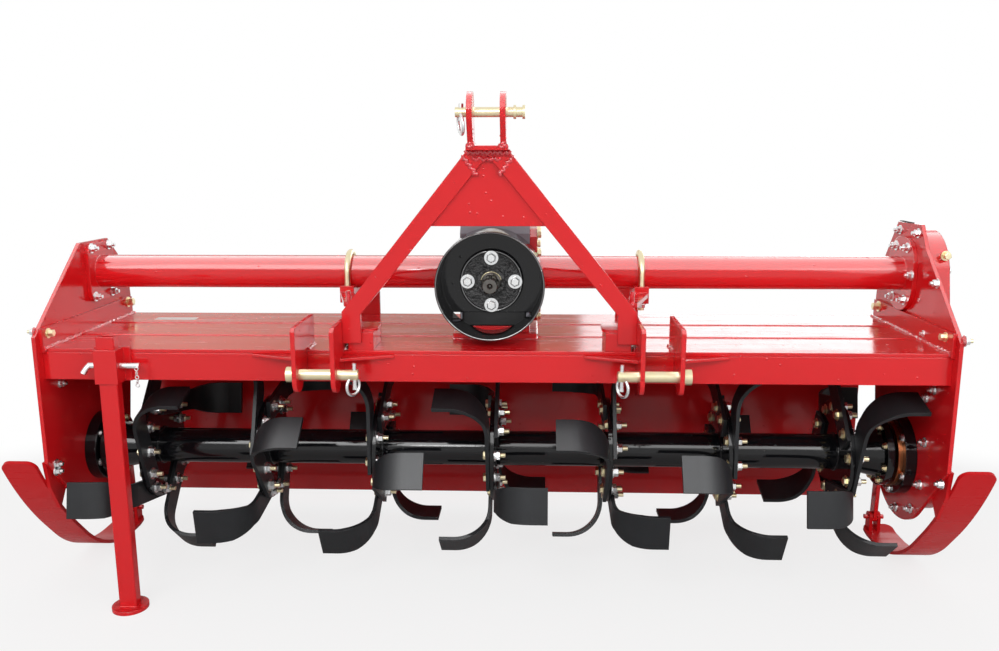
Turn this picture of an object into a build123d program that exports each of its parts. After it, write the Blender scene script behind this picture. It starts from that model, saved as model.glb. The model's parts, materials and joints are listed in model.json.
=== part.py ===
"""Rotary tiller, tractor mounted: a red hood over a driven reel of blades.

Millimetres. X runs across the machine, to the right as the tractor driver
looking back at it sees it, Y runs from the tractor to the rear, and Z is up.
The origin is on the floor, in the middle of the machine.
"""
from build123d import *
from math import acos, atan2, cos, hypot, radians, sin, sqrt, tan
import os

os.makedirs("parts", exist_ok=True)

# ---------------------------------------------------------------- clearances
fit_gap = 0.3            # round pieces seated in bores
slide_gap = 0.5          # sliding pieces in their sleeves
run_gap = 7.0            # turning faces clear of fixed ones
length_slack = 0.01      # edges this close in length count as equal

# ------------------------------------------------------------------- rotor
blade_tip_r = 245.0
tip_floor_gap = 48.0
tip_deck_gap = 26.0
rotor_y = -10.0
rotor_z = tip_floor_gap + blade_tip_r
rotor_tube_r = 40.0
rotor_tube_wall = 8.0
flange_count = 7
flange_inset = 148.0     # outermost flanges inside the side plates
flange_r = 120.0
flange_t = 10.0
blade_t = 8.0
blade_reach = 118.0
blade_shank_w = 52.0
blade_tip_w = 78.0
blade_offset = 98.0      # blades stand beside the rotor's axis by this much
blade_root_drop = 28.0   # and their roots reach this far past it
blade_flare_low = 50.0   # a blade widens between these depths under its top
blade_flare_high = 8.0
blade_bend_r = 80.0
blade_lead_deg = -12.0
blade_step_deg = 20.0
blades_per_side = 3

# -------------------------------------------------------------------- hood
hitch_y = -282.0
beam_set_back = 64.0
beam_depth = 50.0
beam_height = 66.0
beam_wall = 5.0
deck_t = 8.0
deck_length = 419.0
inner_half = 934.0       # inner faces of the side plates
plate_t = 8.0
end_flange_rise = 43.0
end_flange_ahead = 8.0
rib_rise = 2.0
rear_angle_leg = 40.0
rear_angle_t = 6.0

deck_bottom = rotor_z + blade_tip_r + tip_deck_gap
deck_top = deck_bottom + deck_t
beam_front = hitch_y + beam_set_back
beam_rear = beam_front + beam_depth
deck_rear = beam_front + deck_length
plate_outer = inner_half + plate_t
flange_pitch = 2 * (inner_half - flange_inset) / (flange_count - 1)

# ------------------------------------------------------------- cross tubes
tube_r = 38.0
tube_wall = 6.0
tube_back = 61.0         # cross tubes behind the rotor
tube_rise = 127.0
tube_y = rotor_y + tube_back
tube_z = deck_top + tube_rise
tube_flange_t = 10.0
left_flange_y = 120.0
left_flange_z = 134.0
left_flange_corner = 26.0
right_flange_y = 138.0
right_flange_z = 168.0
right_flange_corner = 66.0

# ------------------------------------------------------------- side plates
plate_nose = 22.0        # plates reach this far ahead of the beam
plate_nose_rise = 27.0
plate_foot_r = 152.0     # round lower end about the rotor
nose_foot_rise = 34.0
plate_tail = 4.0         # plates reach past the deck's rear edge
tail_shoulder = 22.0
case_depth = 54.0
case_top_r = 99.0
case_foot_r = 126.0
case_cover_t = 6.0
case_cover_inset = 14.0

# ------------------------------------------------------------------- hitch
pin_drop = 35.5
hitch_z = deck_top - pin_drop
hitch_spread = 683.0     # between the middles of the two lower hitch points
link_gap = 68.0
clevis_t = 9.0
clevis_tip_r = 28.0
clevis_rise = 99.0
clevis_depth = 128.0
clevis_corner = 7.0
clevis_boss_drop = 8.0
clevis_toe = 10.0
lower_pin_r = 11.0
pin_head_r = 15.0
pin_head_t = 9.0
pin_tail = 42.0
pin_chamfer = 2.0
gusset_t = 6.0
gusset_length = 104.0
gusset_depth = 44.0
gusset_end = 6.0
gusset_drop = 8.0

mast_t = 12.0
mast_height = 510.0      # top pin above the lower pins
top_pin_r = 9.5
top_pin_back = 24.0      # top pin behind the lower pins
top_gap = 52.0
ear_t = 11.0
ear_r = 38.0
ear_foot = 2.0
cap_t = 9.0
cap_lip = 4.0            # cap reaches past the ears
cap_back = 30.0          # and behind the mast
cap_front = 32.0         # and ahead of it
ear_back = 12.0          # ears' feet behind the mast
cap_drop = 62.0          # top of the cap below the top pin
leg_w = 38.0
leg_flange = 34.0
leg_flange_t = 9.0
leg_knee_rise = 118.0
leg_foot_rise = 17.5
leg_crook = 6.0          # inner knee below the outer one
gusset_low = 291.0       # lower edge of the mast plate above the lower pins
plate_set_back = 7.0     # mast plate's face behind the legs' faces
top_pin_left = 60.0
top_pin_right = 73.0
top_pin_head_r = 13.0
top_pin_head_t = 5.0
top_pin_collar = 22.0    # collar's inner face from the head's

bracket_x = 334.0
bracket_w = 32.0
bracket_h = 38.0
bracket_lip = 6.0
brace_sink = 3.0
brace_w = 30.0
brace_t = 10.0
bracket_bite = 12.0      # saddles' tops above the tubes' undersides
brace_rise = 8.0         # braces meet the legs this far above their knees
u_bolt_r = 6.0
u_bolt_end = 16.0
foot_box_w = 52.0
foot_box_depth = 90.0
foot_box_h = 38.0
box_lid_t = 6.0
box_lid_shift = 6.0      # lid reaches over the box's inner side
box_lid_corner = 22.0

# ------------------------------------------------------- gearbox and shaft
gear_half = 75.0
gear_shift = 7.0
gear_ahead = 133.0       # front of the gearbox ahead of the tubes
gear_behind = 85.0       # rear of the gearbox behind the tubes
gear_front = tube_y - gear_ahead
gear_rear = tube_y + gear_behind
gear_base_t = 12.0
gear_plinth_t = 14.0
gear_base_lip = 16.0
gear_height = 218.0
gear_corner = 16.0
side_cover_t = 16.0
side_cover_inset = 8.0
cap_r = 67.5
bearing_cap_t = 18.0
cap_boss_r = 30.0
cap_boss_t = 10.0
cap_chamfer = 3.0
shaft_r = 17.45
shaft_out = 62.0
shaft_chamfer = 2.0
shaft_journal_r = 21.0
shaft_journal_out = 4.0
shield_r = 114.0
shield_wall = 4.0
shield_length = 100.0
shield_lip = 2.5         # shield's back wall ends this far below the cap

# ---------------------------------------------------------- rotor bearings
left_ring_r = 80.0
left_ring_t = 26.0
right_ring_r = 93.0
right_ring_t = 24.0
seal_ring_r = 76.0
seal_ring_t = 9.0
journal_r = 25.0
hub_flange_r = 75.0
hub_flange_t = 16.0
hub_taper = 70.0
hub_neck_r = 57.0
journal_gap = 1.0        # journals end inside the plates' inner faces

# -------------------------------------------------------------------- skids
skid_w = 75.0
skid_t = 8.0
skid_gap = 8.0           # spacer between side plate and skid
skid_nose = 22.0         # front tip ahead of the side plate
skid_tip_rise = 44.0     # front tip above the rotor's axis
skid_bend_back = 40.0
skid_bend_drop = 71.0
skid_heel_back = 19.0
skid_kick_ahead = 16.0   # rear end turns up from here
skid_end_back = 21.0
skid_kick_rise = 8.0
skid_bends = (850.0, 320.0, 60.0)
bend_room = 0.999         # most of a leg that its two bends may take
skid_corner = 20.0
strut_inset = 17.0
strut_t = 10.0
strut_case_gap = 15.0    # strut's block behind the chain case
strut_top_drop = 26.0
strut_block = 24.0
strut_r = 13.0
lug_back = 2.0           # strut's foot behind the deck's rear edge
lug_rise = 44.0
lug_r = 14.0
lug_gap = 1.0            # play of the strut between its lugs
lug_pin_r = 6.0
pin_end = 10.0

# -------------------------------------------------------------------- stand
stand_inset = 151.0      # leg's middle inside the left side plate
leg_tube = 38.0
leg_depth = 25.0
leg_wall = 3.0
sleeve_wall = 4.5
spacer_t = 6.0
spacer_lip = 14.0
sleeve_rise = 6.0
sleeve_length = 72.0
leg_above_sleeve = 26.0
foot_r = 38.0
foot_t = 8.0
stand_pin_r = 6.0
stand_pin_tail = 20.0
stand_pin_grip = 40.0

# ----------------------------------------------------------------- tailgate
gate_gap = 4.0           # tailgate's ends inside the side plates
gate_t = 5.0
gate_bulge = 45.0        # middle of the gate behind the hinge
gate_low_bulge = 52.0
gate_drop_high = 165.0
gate_drop_low = 432.0
lip_out = 37.9
lip_down = 58.0
gate_bends = (60.0, 30.0)
gate_sink = 1.0          # gate's top edge inside its knuckles
hinge_r = 11.0
hinge_rod_r = 6.0
hinge_gap = 6.0
hinge_drop = 14.0
knuckle_w = 60.0
knuckle_gap = 5.0
knuckle_inset = 110.0    # outermost knuckles inside the tailgate's ends
knuckle_count = 5
rod_x = 322.0
gate_rod_r = 8.0
eye_r = 15.0
eye_w = 16.0
eye_pin_r = 5.0
eye_gap = 1.0            # play of an eye between its lugs
eye_pin_end = 4.0
eye_back = 75.0          # rod's lower eye behind and below the hinge
eye_drop = 203.5
lug_t = 8.0
lug_sink = 2.0
guide_back = 18.0        # rod guide behind the hinge and above the deck
guide_rise = 94.5
guide_t = 10.0
guide_w = 56.0
guide_slot = 38.0
guide_slot_w = 20.0
guide_lip = 8.0
rod_above = 40.0
collar_r = 17.0
collar_t = 6.0
rod_nut_r = 13.0
rod_foot = 11.0          # rod starts inside its eye
spring_start = 88.0
spring_length = 150.0
spring_r = 16.0
spring_turns = 12

side_sign = {"left": -1, "right": 1}


def save(piece, name):
    """Label a finished piece and write it as one STEP file."""
    piece.part.label = name
    export_step(piece.part, f"parts/{name}.step")


def tangent(y, z, cy, cz, r, turn):
    """The point where a line from (y, z) touches the circle about (cy, cz)."""
    dist = hypot(y - cy, z - cz)
    angle = atan2(z - cz, y - cy) + turn * acos(r / dist)
    return (cy + r * cos(angle), cz + r * sin(angle))


# ===================================================================== hood
# The deck is one plate with pressed ribs, and an upright flange at each end.
rib_rows = (158.0, 299.0)            # distances behind the deck's front edge
rib_w = 34.0
with BuildPart() as deck:
    with BuildSketch(Plane.YZ.offset(-inner_half)) as deck_section:
        with BuildLine():
            Polyline((beam_front, deck_bottom), (deck_rear, deck_bottom), (deck_rear, deck_top),
                     (beam_front, deck_top), close=True)
        make_face()
        for back in rib_rows:
            with Locations((beam_front + back, deck_top)):
                Trapezoid(rib_w, rib_rise, 45, align=(Align.CENTER, Align.MIN))
    extrude(amount=2 * inner_half)
    for side in (-1, 1):
        with BuildSketch(Plane.YZ.offset(side * inner_half - (plate_t if side > 0 else 0))):
            with Locations((beam_front - end_flange_ahead, deck_bottom)):
                Rectangle(deck_length, deck_t + end_flange_rise, align=(Align.MIN, Align.MIN))
        extrude(amount=plate_t)
    # The gearbox's base lies flat on the deck between the ribs' ends.
    with BuildSketch(Plane.XY.offset(deck_top)):
        with Locations((gear_shift, gear_front - gear_base_lip)):
            Rectangle(2 * (gear_half + gear_base_lip), gear_rear - gear_front + 2 * gear_base_lip,
                      align=(Align.CENTER, Align.MIN))
    extrude(amount=rib_rise, mode=Mode.SUBTRACT)
save(deck, "deck")

with BuildPart() as front_beam:
    with BuildSketch(Plane.YZ.offset(-inner_half)):
        with Locations((beam_front, deck_bottom)):
            Rectangle(beam_depth, beam_height - deck_t, align=(Align.MIN, Align.MAX))
        with Locations((beam_front + beam_wall, deck_bottom - beam_wall)):
            Rectangle(beam_depth - 2 * beam_wall, beam_height - deck_t - 2 * beam_wall,
                      align=(Align.MIN, Align.MAX), mode=Mode.SUBTRACT)
    extrude(amount=2 * inner_half)
save(front_beam, "front_beam")

with BuildPart() as rear_angle:
    with BuildSketch(Plane.YZ.offset(-inner_half)):
        with Locations((deck_rear, deck_bottom)):
            Rectangle(rear_angle_leg, rear_angle_t, align=(Align.MAX, Align.MAX))
            Rectangle(rear_angle_t, rear_angle_leg, align=(Align.MAX, Align.MAX))
    extrude(amount=2 * inner_half)
save(rear_angle, "rear_angle")

# Each side plate is flat, with a slanted shoulder and a round lower end.
plate_front = beam_front - plate_nose
strut_y = tube_y + case_top_r + strut_case_gap + strut_block / 2
tail_y = max(deck_rear, strut_y + strut_block / 2) + plate_tail
# side: shoulder and crown as (from the tube's axis in Y, in Z)
crowns = {
    "left": ((-75, 73), (56, 72), (103, 29)),
    "right": ((-101, 64), (-66, 115), (57, 112), (116, 28)),
}
for side, crown in crowns.items():
    nose_foot = (plate_front, rotor_z + nose_foot_rise)
    tail_top = (tail_y, deck_top + end_flange_rise)
    outline = [(plate_front, deck_top + plate_nose_rise)]
    outline += [(tube_y + dy, tube_z + dz) for dy, dz in crown]
    outline += [(tail_y - plate_tail / 2, tail_top[1] + tail_shoulder), tail_top]
    outline += [tangent(*tail_top, rotor_y, rotor_z, plate_foot_r, -1)]
    outline += [(rotor_y, rotor_z)]
    outline += [tangent(*nose_foot, rotor_y, rotor_z, plate_foot_r, 1), nose_foot]
    start = inner_half if side == "right" else -plate_outer
    with BuildPart() as side_plate:
        with BuildSketch(Plane.YZ.offset(start)):
            with BuildLine():
                Polyline(*outline, close=True)
            make_face()
            with Locations((rotor_y, rotor_z)):
                Circle(plate_foot_r)
        extrude(amount=plate_t)
    save(side_plate, f"side_plate_{side}")

# The closed chain case outside the right plate, with its bolted cover.
with BuildPart() as chain_case:
    with BuildSketch(Plane.YZ.offset(plate_outer)):
        with Locations((tube_y, tube_z)):
            Circle(case_top_r)
        with Locations((rotor_y, rotor_z)):
            Circle(case_foot_r)
        make_hull()
    extrude(amount=case_depth - case_cover_t)
save(chain_case, "chain_case")

with BuildPart() as case_cover:
    with BuildSketch(Plane.YZ.offset(plate_outer + case_depth - case_cover_t)):
        with Locations((tube_y, tube_z)):
            Circle(case_top_r - case_cover_inset)
        with Locations((rotor_y, rotor_z)):
            Circle(case_foot_r - case_cover_inset)
        make_hull()
    extrude(amount=case_cover_t)
save(case_cover, "case_cover")

# ============================================================== cross tubes
gear_left = gear_shift - gear_half
gear_right = gear_shift + gear_half
tube_ends = {
    "left": (-inner_half, gear_left),
    "right": (gear_right + side_cover_t, inner_half),
}
for side, (start, end) in tube_ends.items():
    with BuildPart() as cross_tube:
        with BuildSketch(Plane.YZ.offset(start)):
            with Locations((tube_y, tube_z)):
                Circle(tube_r)
        extrude(amount=end - start)
        flange_at = start if side == "left" else end - tube_flange_t
        with BuildSketch(Plane.YZ.offset(flange_at)):
            with Locations((tube_y, tube_z)):
                if side == "left":
                    RectangleRounded(left_flange_y, left_flange_z, left_flange_corner)
                else:
                    RectangleRounded(right_flange_y, right_flange_z, right_flange_corner)
        extrude(amount=tube_flange_t)
        with BuildSketch(Plane.YZ.offset(start)):
            with Locations((tube_y, tube_z)):
                Circle(tube_r - tube_wall)
        extrude(amount=end - start, mode=Mode.SUBTRACT)
    save(cross_tube, f"cross_tube_{side}")

# ==================================================================== hitch
# Lower hitch points: two plates and the weld-on gussets beside them.
clevis_mid = hitch_spread / 2
for side, sign in side_sign.items():
    with BuildPart() as clevis:
        inner_x = clevis_mid - link_gap / 2 - clevis_t
        outer_x = clevis_mid + link_gap / 2
        for near in (inner_x, outer_x):
            start = near if sign > 0 else -near - clevis_t
            with BuildSketch(Plane.YZ.offset(start)):
                with BuildLine():
                    Polyline(
                        (hitch_y - clevis_tip_r, hitch_z),
                        (hitch_y - clevis_tip_r, hitch_z + clevis_rise - clevis_corner),
                        (hitch_y - clevis_tip_r + clevis_corner, hitch_z + clevis_rise),
                        (hitch_y + clevis_depth, hitch_z + clevis_rise),
                        (hitch_y + clevis_depth, deck_top),
                        (beam_front, deck_top),
                        (beam_front, deck_top - beam_height + clevis_toe),
                        (hitch_y + clevis_tip_r, hitch_z - clevis_boss_drop / 2),
                        (hitch_y, hitch_z),
                        close=True,
                    )
                make_face()
                with Locations((hitch_y, hitch_z - clevis_boss_drop)):
                    Circle(clevis_tip_r)
                with Locations((hitch_y, hitch_z)):
                    Circle(lower_pin_r + fit_gap, mode=Mode.SUBTRACT)
            extrude(amount=clevis_t)
        # Flat gussets lie between the plates' sides and the beam's face.
        for root_x, tip_dir in ((outer_x + clevis_t, 1), (inner_x, -1)):
            with BuildSketch(Plane.XY.offset(deck_top - gusset_drop - gusset_t)):
                with BuildLine():
                    Polyline(
                        (sign * root_x, beam_front),
                        (sign * root_x, beam_front - gusset_depth),
                        (sign * (root_x + tip_dir * gusset_length), beam_front - gusset_end),
                        (sign * (root_x + tip_dir * gusset_length), beam_front),
                        close=True,
                    )
                make_face()
            extrude(amount=gusset_t)
    save(clevis, f"clevis_{side}")

    with BuildPart() as lower_pin:
        head_x = outer_x + clevis_t
        tail_x = inner_x - pin_tail
        with BuildSketch(Plane.YZ.offset(sign * tail_x)):
            with Locations((hitch_y, hitch_z)):
                Circle(lower_pin_r)
        extrude(amount=sign * (head_x - tail_x))
        with BuildSketch(Plane.YZ.offset(sign * head_x)):
            with Locations((hitch_y, hitch_z)):
                Circle(pin_head_r)
        extrude(amount=sign * pin_head_t)
        chamfer(lower_pin.faces().sort_by(Axis.X)[0 if sign > 0 else -1].edges(), pin_chamfer)
    save(lower_pin, f"lower_pin_{side}")

# The mast: two angle legs, a plate across their tops, a cap and two ears.
mast_back = beam_front
top_pin_y = hitch_y + top_pin_back
mast_front = mast_back - mast_t
cap_top = hitch_z + mast_height - cap_drop
cap_half = top_gap / 2 + ear_t + cap_lip
foot_outer = clevis_mid - link_gap / 2 - clevis_t
knee_z = hitch_z + leg_knee_rise
foot_z = deck_top + leg_foot_rise
leg_angle = atan2(cap_top - cap_t - knee_z, foot_outer - cap_half)
leg_across = leg_w / sin(leg_angle)
gusset_z = hitch_z + gusset_low
gusset_half = cap_half + (cap_top - cap_t - gusset_z) / (cap_top - cap_t - knee_z) * (foot_outer - cap_half)
with BuildPart() as mast:
    with BuildSketch(Plane.XZ.offset(-mast_back)):
        for sign in (-1, 1):
            with BuildLine():
                Polyline(
                    (sign * cap_half, cap_top - cap_t),
                    (sign * foot_outer, knee_z),
                    (sign * foot_outer, foot_z),
                    (sign * (foot_outer - leg_w), foot_z),
                    (sign * (foot_outer - leg_w), knee_z - leg_crook),
                    (sign * (cap_half - leg_across), cap_top - cap_t),
                    close=True,
                )
            make_face()
    extrude(amount=mast_t)
    with BuildSketch(Plane.XZ.offset(-mast_back)):
        with BuildLine():
            Polyline(
                (-cap_half, cap_top - cap_t), (cap_half, cap_top - cap_t),
                (gusset_half - leg_across / 2, gusset_z), (-gusset_half + leg_across / 2, gusset_z),
                close=True,
            )
        make_face()
    extrude(amount=mast_t - plate_set_back)
    # The legs' outer flanges turn back towards the deck.
    for sign in (-1, 1):
        with BuildSketch(Plane.XZ.offset(-mast_back)):
            across = leg_flange_t / sin(leg_angle)
            with BuildLine():
                Polyline(
                    (sign * cap_half, cap_top - cap_t),
                    (sign * foot_outer, knee_z),
                    (sign * foot_outer, deck_top + foot_box_h + box_lid_t),
                    (sign * (foot_outer - leg_flange_t), deck_top + foot_box_h + box_lid_t),
                    (sign * (foot_outer - leg_flange_t), knee_z - leg_crook / 2),
                    (sign * (cap_half - across), cap_top - cap_t),
                    close=True,
                )
            make_face()
        extrude(amount=-leg_flange)
    with BuildSketch(Plane.XY.offset(cap_top - cap_t)):
        with Locations((0, mast_front - cap_front)):
            Rectangle(2 * cap_half, mast_t + cap_front + cap_back, align=(Align.CENTER, Align.MIN))
    extrude(amount=cap_t)
    top_pin_z = hitch_z + mast_height
    for sign in (-1, 1):
        start = top_gap / 2 if sign > 0 else -top_gap / 2 - ear_t
        with BuildSketch(Plane.YZ.offset(start)):
            with Locations((top_pin_y, top_pin_z)):
                Circle(ear_r)
            with Locations((mast_front - cap_front, cap_top)):
                Rectangle(cap_front + mast_t + ear_back, ear_foot, align=(Align.MIN, Align.MIN))
            make_hull()
            with Locations((top_pin_y, top_pin_z)):
                Circle(top_pin_r + fit_gap, mode=Mode.SUBTRACT)
        extrude(amount=ear_t)
save(mast, "mast")

with BuildPart() as top_pin:
    with BuildSketch(Plane.YZ.offset(-top_pin_left)):
        with Locations((top_pin_y, top_pin_z)):
            Circle(top_pin_r)
    extrude(amount=top_pin_left + top_pin_right)
    # A collar and an end flange keep the pin from sliding through.
    for start in (top_pin_right - top_pin_head_t, top_pin_right - top_pin_collar):
        with BuildSketch(Plane.YZ.offset(start)):
            with Locations((top_pin_y, top_pin_z)):
                Circle(top_pin_head_r)
        extrude(amount=top_pin_head_t)
save(top_pin, "top_pin")

# Flat braces from the mast's legs back to saddles clamped under the cross tubes.
bracket_top = tube_z - tube_r + bracket_bite
u_bolt_mid = tube_r + fit_gap + u_bolt_r
brace_z = knee_z + brace_rise
brace_root = (foot_outer - brace_rise / tan(leg_angle) - leg_flange_t / 2, mast_back + leg_flange, brace_z)
bracket_depth = 2 * (tube_r + 2 * u_bolt_r + bracket_lip)
for side, sign in side_sign.items():
    with BuildPart() as brace:
        start = Vector(sign * brace_root[0], brace_root[1], brace_root[2])
        end = Vector(sign * bracket_x, tube_y - bracket_depth / 2 + brace_sink, bracket_top - bracket_h / 2)
        run = end - start
        across = Vector(0, -run.Z, run.Y)
        with BuildSketch(Plane(origin=start - run.normalized() * mast_t, z_dir=run, x_dir=across)):
            Rectangle(brace_t, brace_w)
        extrude(amount=run.length + mast_t)
        with BuildSketch(Plane.XY.offset(bracket_top)):
            with Locations((sign * bracket_x, tube_y)):
                Rectangle(bracket_w, bracket_depth)
        extrude(amount=-bracket_h)
        split(bisect_by=Plane.XZ.offset(-brace_root[1]), keep=Keep.BOTTOM)
        with BuildSketch(Plane.YZ.offset(sign * bracket_x - bracket_w / 2)):
            with Locations((tube_y, tube_z)):
                Circle(tube_r + fit_gap)
        extrude(amount=bracket_w, mode=Mode.SUBTRACT)
        with BuildSketch(Plane.XY.offset(bracket_top)):
            with Locations((sign * bracket_x, tube_y - u_bolt_mid), (sign * bracket_x, tube_y + u_bolt_mid)):
                Circle(u_bolt_r + fit_gap)
        extrude(amount=-bracket_h, mode=Mode.SUBTRACT)
    save(brace, f"brace_{side}")

# U-bolts over the tubes.
u_bolt_low = bracket_top - bracket_h - u_bolt_end
with BuildPart() as u_bolts:
    for sign in (-1, 1):
        with BuildLine(Plane.YZ.offset(sign * bracket_x)) as bend:
            Line((tube_y - u_bolt_mid, u_bolt_low), (tube_y - u_bolt_mid, tube_z))
            CenterArc((tube_y, tube_z), u_bolt_mid, 180, -180)
            Line((tube_y + u_bolt_mid, tube_z), (tube_y + u_bolt_mid, u_bolt_low))
        with BuildSketch(Plane.XY.offset(u_bolt_low)):
            with Locations((sign * bracket_x, tube_y - u_bolt_mid)):
                Circle(u_bolt_r)
        sweep(path=bend.line)
save(u_bolts, "u_bolts")

# Low boxes on the deck behind the mast's feet.
with BuildPart() as foot_boxes:
    for sign in (-1, 1):
        with BuildSketch(Plane.XY.offset(deck_top)):
            with Locations((sign * (foot_outer - leg_flange_t - foot_box_w / 2), beam_front)):
                Rectangle(foot_box_w, foot_box_depth, align=(Align.CENTER, Align.MIN))
        extrude(amount=foot_box_h)
        with BuildSketch(Plane.XY.offset(deck_top + foot_box_h)):
            with Locations((sign * (foot_outer - leg_flange_t - foot_box_w / 2 - box_lid_shift),
                            beam_front + foot_box_depth / 2)):
                RectangleRounded(foot_box_w, foot_box_depth - 2 * box_lid_shift, box_lid_corner)
        extrude(amount=box_lid_t)
save(foot_boxes, "foot_boxes")

# ================================================================= gearbox
with BuildPart() as gear_base:
    with BuildSketch(Plane.XY.offset(deck_top)):
        with BuildLine():
            Polyline(
                (gear_left - gear_base_lip, gear_front - gear_base_lip),
                (gear_right + gear_base_lip, gear_front - gear_base_lip),
                (gear_right + gear_base_lip, gear_rear + gear_base_lip),
                (gear_left - gear_base_lip, gear_rear + gear_base_lip),
                close=True,
            )
        make_face()
    extrude(amount=gear_base_t)
    with BuildSketch(Plane.XY.offset(deck_top + gear_base_t)):
        with Locations((gear_shift, gear_front)):
            Rectangle(2 * gear_half, gear_rear - gear_front, align=(Align.CENTER, Align.MIN))
    extrude(amount=gear_plinth_t)
save(gear_base, "gear_base")

gear_bottom = deck_top + gear_base_t + gear_plinth_t
with BuildPart() as gearbox:
    with BuildSketch(Plane.YZ.offset(gear_left)):
        with Locations((gear_front, gear_bottom)):
            Rectangle(gear_rear - gear_front, gear_height, align=(Align.MIN, Align.MIN))
    extrude(amount=gear_right - gear_left)
    chamfer(gearbox.edges().filter_by(Axis.X), gear_corner)
save(gearbox, "gearbox")

with BuildPart() as gear_side_cover:
    with BuildSketch(Plane.YZ.offset(gear_right)):
        with Locations((gear_front + side_cover_inset, gear_bottom + side_cover_inset)):
            Rectangle(gear_rear - gear_front - 2 * side_cover_inset, gear_height - 2 * side_cover_inset,
                      align=(Align.MIN, Align.MIN))
    extrude(amount=side_cover_t)
    chamfer(gear_side_cover.edges().filter_by(Axis.X), gear_corner)
save(gear_side_cover, "gear_side_cover")

# The input shaft points at the tractor, through a bearing cap.
shaft_z = tube_z
with BuildPart() as bearing_cap:
    with BuildSketch(Plane.XZ.offset(-gear_front)):
        with Locations((0, shaft_z)):
            Circle(cap_r)
    extrude(amount=bearing_cap_t)
    chamfer(bearing_cap.faces().sort_by(Axis.Y)[0].edges(), cap_chamfer)
    with BuildSketch(Plane.XZ.offset(bearing_cap_t - gear_front)):
        with Locations((0, shaft_z)):
            Circle(cap_boss_r)
    extrude(amount=cap_boss_t)
    with BuildSketch(Plane.XZ.offset(-gear_front)):
        with Locations((0, shaft_z)):
            Circle(shaft_journal_r + fit_gap)
    extrude(amount=bearing_cap_t + cap_boss_t, mode=Mode.SUBTRACT)
save(bearing_cap, "bearing_cap")

journal_end = bearing_cap_t + cap_boss_t + shaft_journal_out
with BuildPart() as input_shaft:
    with BuildSketch(Plane.XZ.offset(fit_gap - gear_front)):
        with Locations((0, shaft_z)):
            Circle(shaft_journal_r)
    extrude(amount=journal_end - fit_gap)
    with BuildSketch(Plane.XZ.offset(journal_end - gear_front)):
        with Locations((0, shaft_z)):
            Circle(shaft_r)
    extrude(amount=shaft_out)
    chamfer(input_shaft.faces().sort_by(Axis.Y)[0].edges(), shaft_chamfer)
save(input_shaft, "input_shaft")

with BuildPart() as pto_shield:
    with BuildSketch(Plane.XZ.offset(-gear_front)):
        with Locations((0, shaft_z)):
            Circle(shield_r)
    extrude(amount=shield_length)
    with BuildSketch(Plane.XZ.offset(shield_wall - gear_front)):
        with Locations((0, shaft_z)):
            Circle(shield_r - shield_wall)
    extrude(amount=shield_length, mode=Mode.SUBTRACT)
    with BuildSketch(Plane.XZ.offset(-gear_front)):
        with Locations((0, shaft_z)):
            Circle(cap_r + fit_gap)
    extrude(amount=shield_wall, mode=Mode.SUBTRACT)
    # Below the bearing cap the back wall is open.
    with BuildSketch(Plane.XZ.offset(-gear_front)):
        with Locations((0, shaft_z)):
            Circle(shield_r - shield_wall)
        with Locations((0, shaft_z - cap_r - shield_lip)):
            Rectangle(2 * shield_r, shield_r, align=(Align.CENTER, Align.MAX), mode=Mode.INTERSECT)
    extrude(amount=shield_wall, mode=Mode.SUBTRACT)
save(pto_shield, "pto_shield")

# =================================================================== rotor
with BuildPart() as rotor_tube:
    hub_face = inner_half - max(left_ring_t, right_ring_t + seal_ring_t) - run_gap
    hub_in = hub_face - hub_flange_t - hub_taper
    with BuildSketch(Plane.YZ.offset(-hub_in)):
        with Locations((rotor_y, rotor_z)):
            Circle(rotor_tube_r)
    extrude(amount=2 * hub_in)
    for step in range(flange_count):
        flange_x = (step - (flange_count - 1) / 2) * flange_pitch
        with BuildSketch(Plane.YZ.offset(flange_x - flange_t / 2)):
            with Locations((rotor_y, rotor_z)):
                Circle(flange_r)
        extrude(amount=flange_t)
    with BuildSketch(Plane.YZ.offset(-hub_in)):
        with Locations((rotor_y, rotor_z)):
            Circle(rotor_tube_r - rotor_tube_wall)
    extrude(amount=2 * hub_in, mode=Mode.SUBTRACT)
save(rotor_tube, "rotor_tube")

# side: thickness of what the hub faces, from the side plate inwards
ring_faces = {"left": left_ring_t, "right": right_ring_t + seal_ring_t}
for side, sign in side_sign.items():
    face_x = inner_half - ring_faces[side] - run_gap
    with BuildPart() as rotor_hub:
        with BuildSketch(Plane.XY):
            with BuildLine():
                Polyline(
                    (hub_in, 0), (hub_in, rotor_tube_r), (face_x - hub_flange_t, hub_neck_r),
                    (face_x - hub_flange_t, hub_flange_r), (face_x, hub_flange_r), (face_x, journal_r),
                    (inner_half - journal_gap, journal_r), (inner_half - journal_gap, 0), close=True,
                )
            make_face()
        revolve(axis=Axis.X)
    placed = rotor_hub.part if sign > 0 else rotor_hub.part.mirror(Plane.YZ)
    with BuildPart() as placed_hub:
        with Locations((0, rotor_y, rotor_z)):
            add(placed)
    save(placed_hub, f"rotor_hub_{side}")

# One blade stands beside the X axis, its root lagging, and bends outwards.
blade_mid = flange_t / 2 + blade_t / 2
blade_top = sqrt(blade_tip_r**2 - (blade_offset + blade_tip_w / 2) ** 2) - blade_t / 2
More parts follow.
